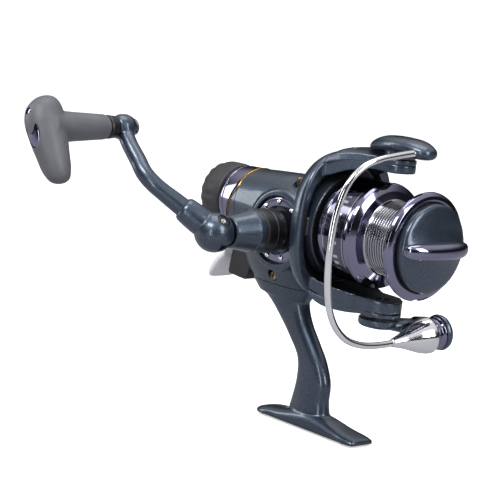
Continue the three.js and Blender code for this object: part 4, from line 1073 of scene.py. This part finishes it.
def grip():
    """Rows of height along the bar, shift along Y, and half width and depth."""
    rows = [(-27.6, 2, 0.8, 0.9), (-27.2, 1.9, 2.4, 2.7), (-26, 1.6, 4.3, 4.7), (-22, 1, 6, 6.6),
            (-14, 0.4, 7.1, 8.1), (-5, 0, 8.1, 9.4), (4, 0, 8.6, 9.8), (9.6, 0.6, 7.7, 8.3),
            (13, 1.6, 5.3, 5.7), (14.4, 2, 2.8, 3.1), (14.8, 2, 1, 1.1)]
    shape = loft("bar", [(on_tip(GRIP_Y + shift) + BAR * up, BAR_SIDE * wide, [0, deep, 0])
                         for up, shift, wide, deep in rows], 72, 0.96)
    stalk = lathe("stalk", [[GRIP_Y, 0], [GRIP_Y, 9.2], [-122, 8, 2], [-118, 7.3, 2], [-108, 6.7, 4],
                            [-94.2, 6, 0.5],
                            [-93, 5.6, 0.4], [-92.9, 4.6], [-92.9, 0]], along=Y, origin=on_tip(0), sides=96)
    piece = melted(joined("fine_grip", shape, stalk), 0.5, 10)
    return carve(piece, cap(0.35, "cap_space"))


def cap(grow, name):
    """The chrome oval in the grip's face, larger by grow on every side."""
    centre = on_tip(GRIP_Y + 2) - BAR * 0.9
    sizes = [(-5.2, 0.86), (-7.6, 0.99), (-8.9, 1), (-9.8, 0.95), (-10.5, 0.82), (-10.9, 0.62), (-11.15, 0.34),
             (-11.2, 0.06)]
    rows = [(centre + Y * (y - grow), BAR * (10 * size + grow), BAR_SIDE * (4.6 * size + grow))
            for y, size in sizes]
    return loft(name, rows, 72, 1.0, 4)


bush = lathe("fine_grip_bush", [[-92.6, 2.3], [-92.6, 5.5], [-91.8, 5.7], [-87.9, 5.3], [-87.5, 4.9],
                                [-87.5, 2.3]], along=Y, origin=on_tip(0), ring=True, sides=64)
dressed(bush, BLACK, "knob", "grip_bush", slot="black_plastic")
dressed(grip(), SOFT, "knob", "grip", slot="soft_grip", crease=0)
dressed(cap(0, "fine_grip_cap"), CHROME, "knob", "grip_cap", slot="gunmetal_chrome", crease=0)

# ------------------------------------------------------------------ floor, camera and light
# The camera sees the floor and the background pale. Reflections and bounced light see both of them darker,
# so the paint and the chrome keep dark zones.
REACH, DROP = 14, -0.001  # metres
floor_mesh = bpy.data.meshes.new("floor")
corners = [(-REACH, -REACH, DROP), (REACH, -REACH, DROP), (REACH, REACH, DROP), (-REACH, REACH, DROP)]
floor_mesh.from_pydata(corners, [], [(0, 1, 2, 3)])
floor = linked("floor", floor_mesh)
pale = Surface("pale_floor", roughness=0.9, Emission_Color=(1, 1, 1, 1), Specular_IOR_Level=0.1)
to_camera = pale.add("ShaderNodeLightPath").outputs["Is Camera Ray"]
white = pale.mix(pale.noise(6, 2), (0.9, 0.9, 0.905), (0.87, 0.87, 0.875))
pale.colour(pale.mix(to_camera, (0.34, 0.34, 0.36), white))
pale.link(pale.math("MULTIPLY", to_camera, 0.5), pale.bsdf.inputs["Emission Strength"])
floor_mesh.materials.append(pale.material)

camera = linked("camera", bpy.data.cameras.new("camera"))
camera.data.lens = 147.1
camera.data.sensor_width = 36
camera.data.clip_end = 60
# The photo's viewing angle: the directions of the picture's right, its top and the viewer.
right, up, back = (0.6761, 0.7276, 0.1157), (-0.2060, 0.0359, 0.9779), (0.7074, -0.6850, 0.1742)
camera.matrix_world = Matrix.Translation(Vector((0.6713, -0.7072, 0.2563))) @ Matrix(
    [[right[i], up[i], back[i]] for i in range(3)]).to_4x4()
bpy.context.scene.camera = camera
bpy.context.scene.view_settings.view_transform = "Standard"


def softbox(name, place, target, size, watts):
    light = bpy.data.lights.new(name, "AREA")
    light.shape = "RECTANGLE"
    light.size, light.size_y = size
    light.energy = watts
    obj = linked(name, light)
    obj.location = place
    obj.rotation_euler = (Vector(target) - Vector(place)).to_track_quat("-Z", "Y").to_euler()


MIDDLE = (0, 0, 0.09)
softbox("key", (0.1, -0.75, 0.85), MIDDLE, (0.5, 0.3), 7)
softbox("front", (0.95, 0.1, 0.55), MIDDLE, (0.35, 0.7), 6)
softbox("side", (0.45, -0.95, 0.2), MIDDLE, (0.12, 0.6), 2)
softbox("top", (-0.1, 0.1, 1.1), MIDDLE, (0.7, 0.7), 4)
softbox("left", (-0.8, -0.5, 0.35), MIDDLE, (0.2, 0.7), 2.5)

world = bpy.data.worlds.new("studio")
bpy.context.scene.world = world
world.use_nodes = True
nodes, links = world.node_tree.nodes, world.node_tree.links
place = nodes.new("ShaderNodeTexCoord")
split = nodes.new("ShaderNodeSeparateXYZ")
ramp = nodes.new("ShaderNodeValToRGB")
# Brightness from straight down to straight up: dim near the horizon, bright overhead.
levels = [(0.0, 0.3), (0.48, 0.12), (0.52, 0.02), (0.64, 0.03), (0.72, 0.16), (0.82, 0.75), (1.0, 0.85)]
while len(ramp.color_ramp.elements) < len(levels):
    ramp.color_ramp.elements.new(0.5)
for element, (position, value) in zip(ramp.color_ramp.elements, levels):
    element.position = position
    element.color = (value, value, value * 1.02, 1)
shift = nodes.new("ShaderNodeMapRange")
shift.inputs[1].default_value = -1
links.new(place.outputs["Generated"], split.inputs[0])
links.new(split.outputs[2], shift.inputs[0])
links.new(shift.outputs[0], ramp.inputs[0])
soft = nodes["Background"]
links.new(ramp.outputs[0], soft.inputs[0])
seen = nodes.new("ShaderNodeBackground")
seen.inputs[0].default_value = (0.93, 0.93, 0.93, 1)
rays = nodes.new("ShaderNodeLightPath")
mixer = nodes.new("ShaderNodeMixShader")
links.new(rays.outputs["Is Camera Ray"], mixer.inputs[0])
links.new(soft.outputs[0], mixer.inputs[1])
links.new(seen.outputs[0], mixer.inputs[2])
links.new(mixer.outputs[0], nodes["World Output"].inputs[0])

bpy.context.view_layer.update()
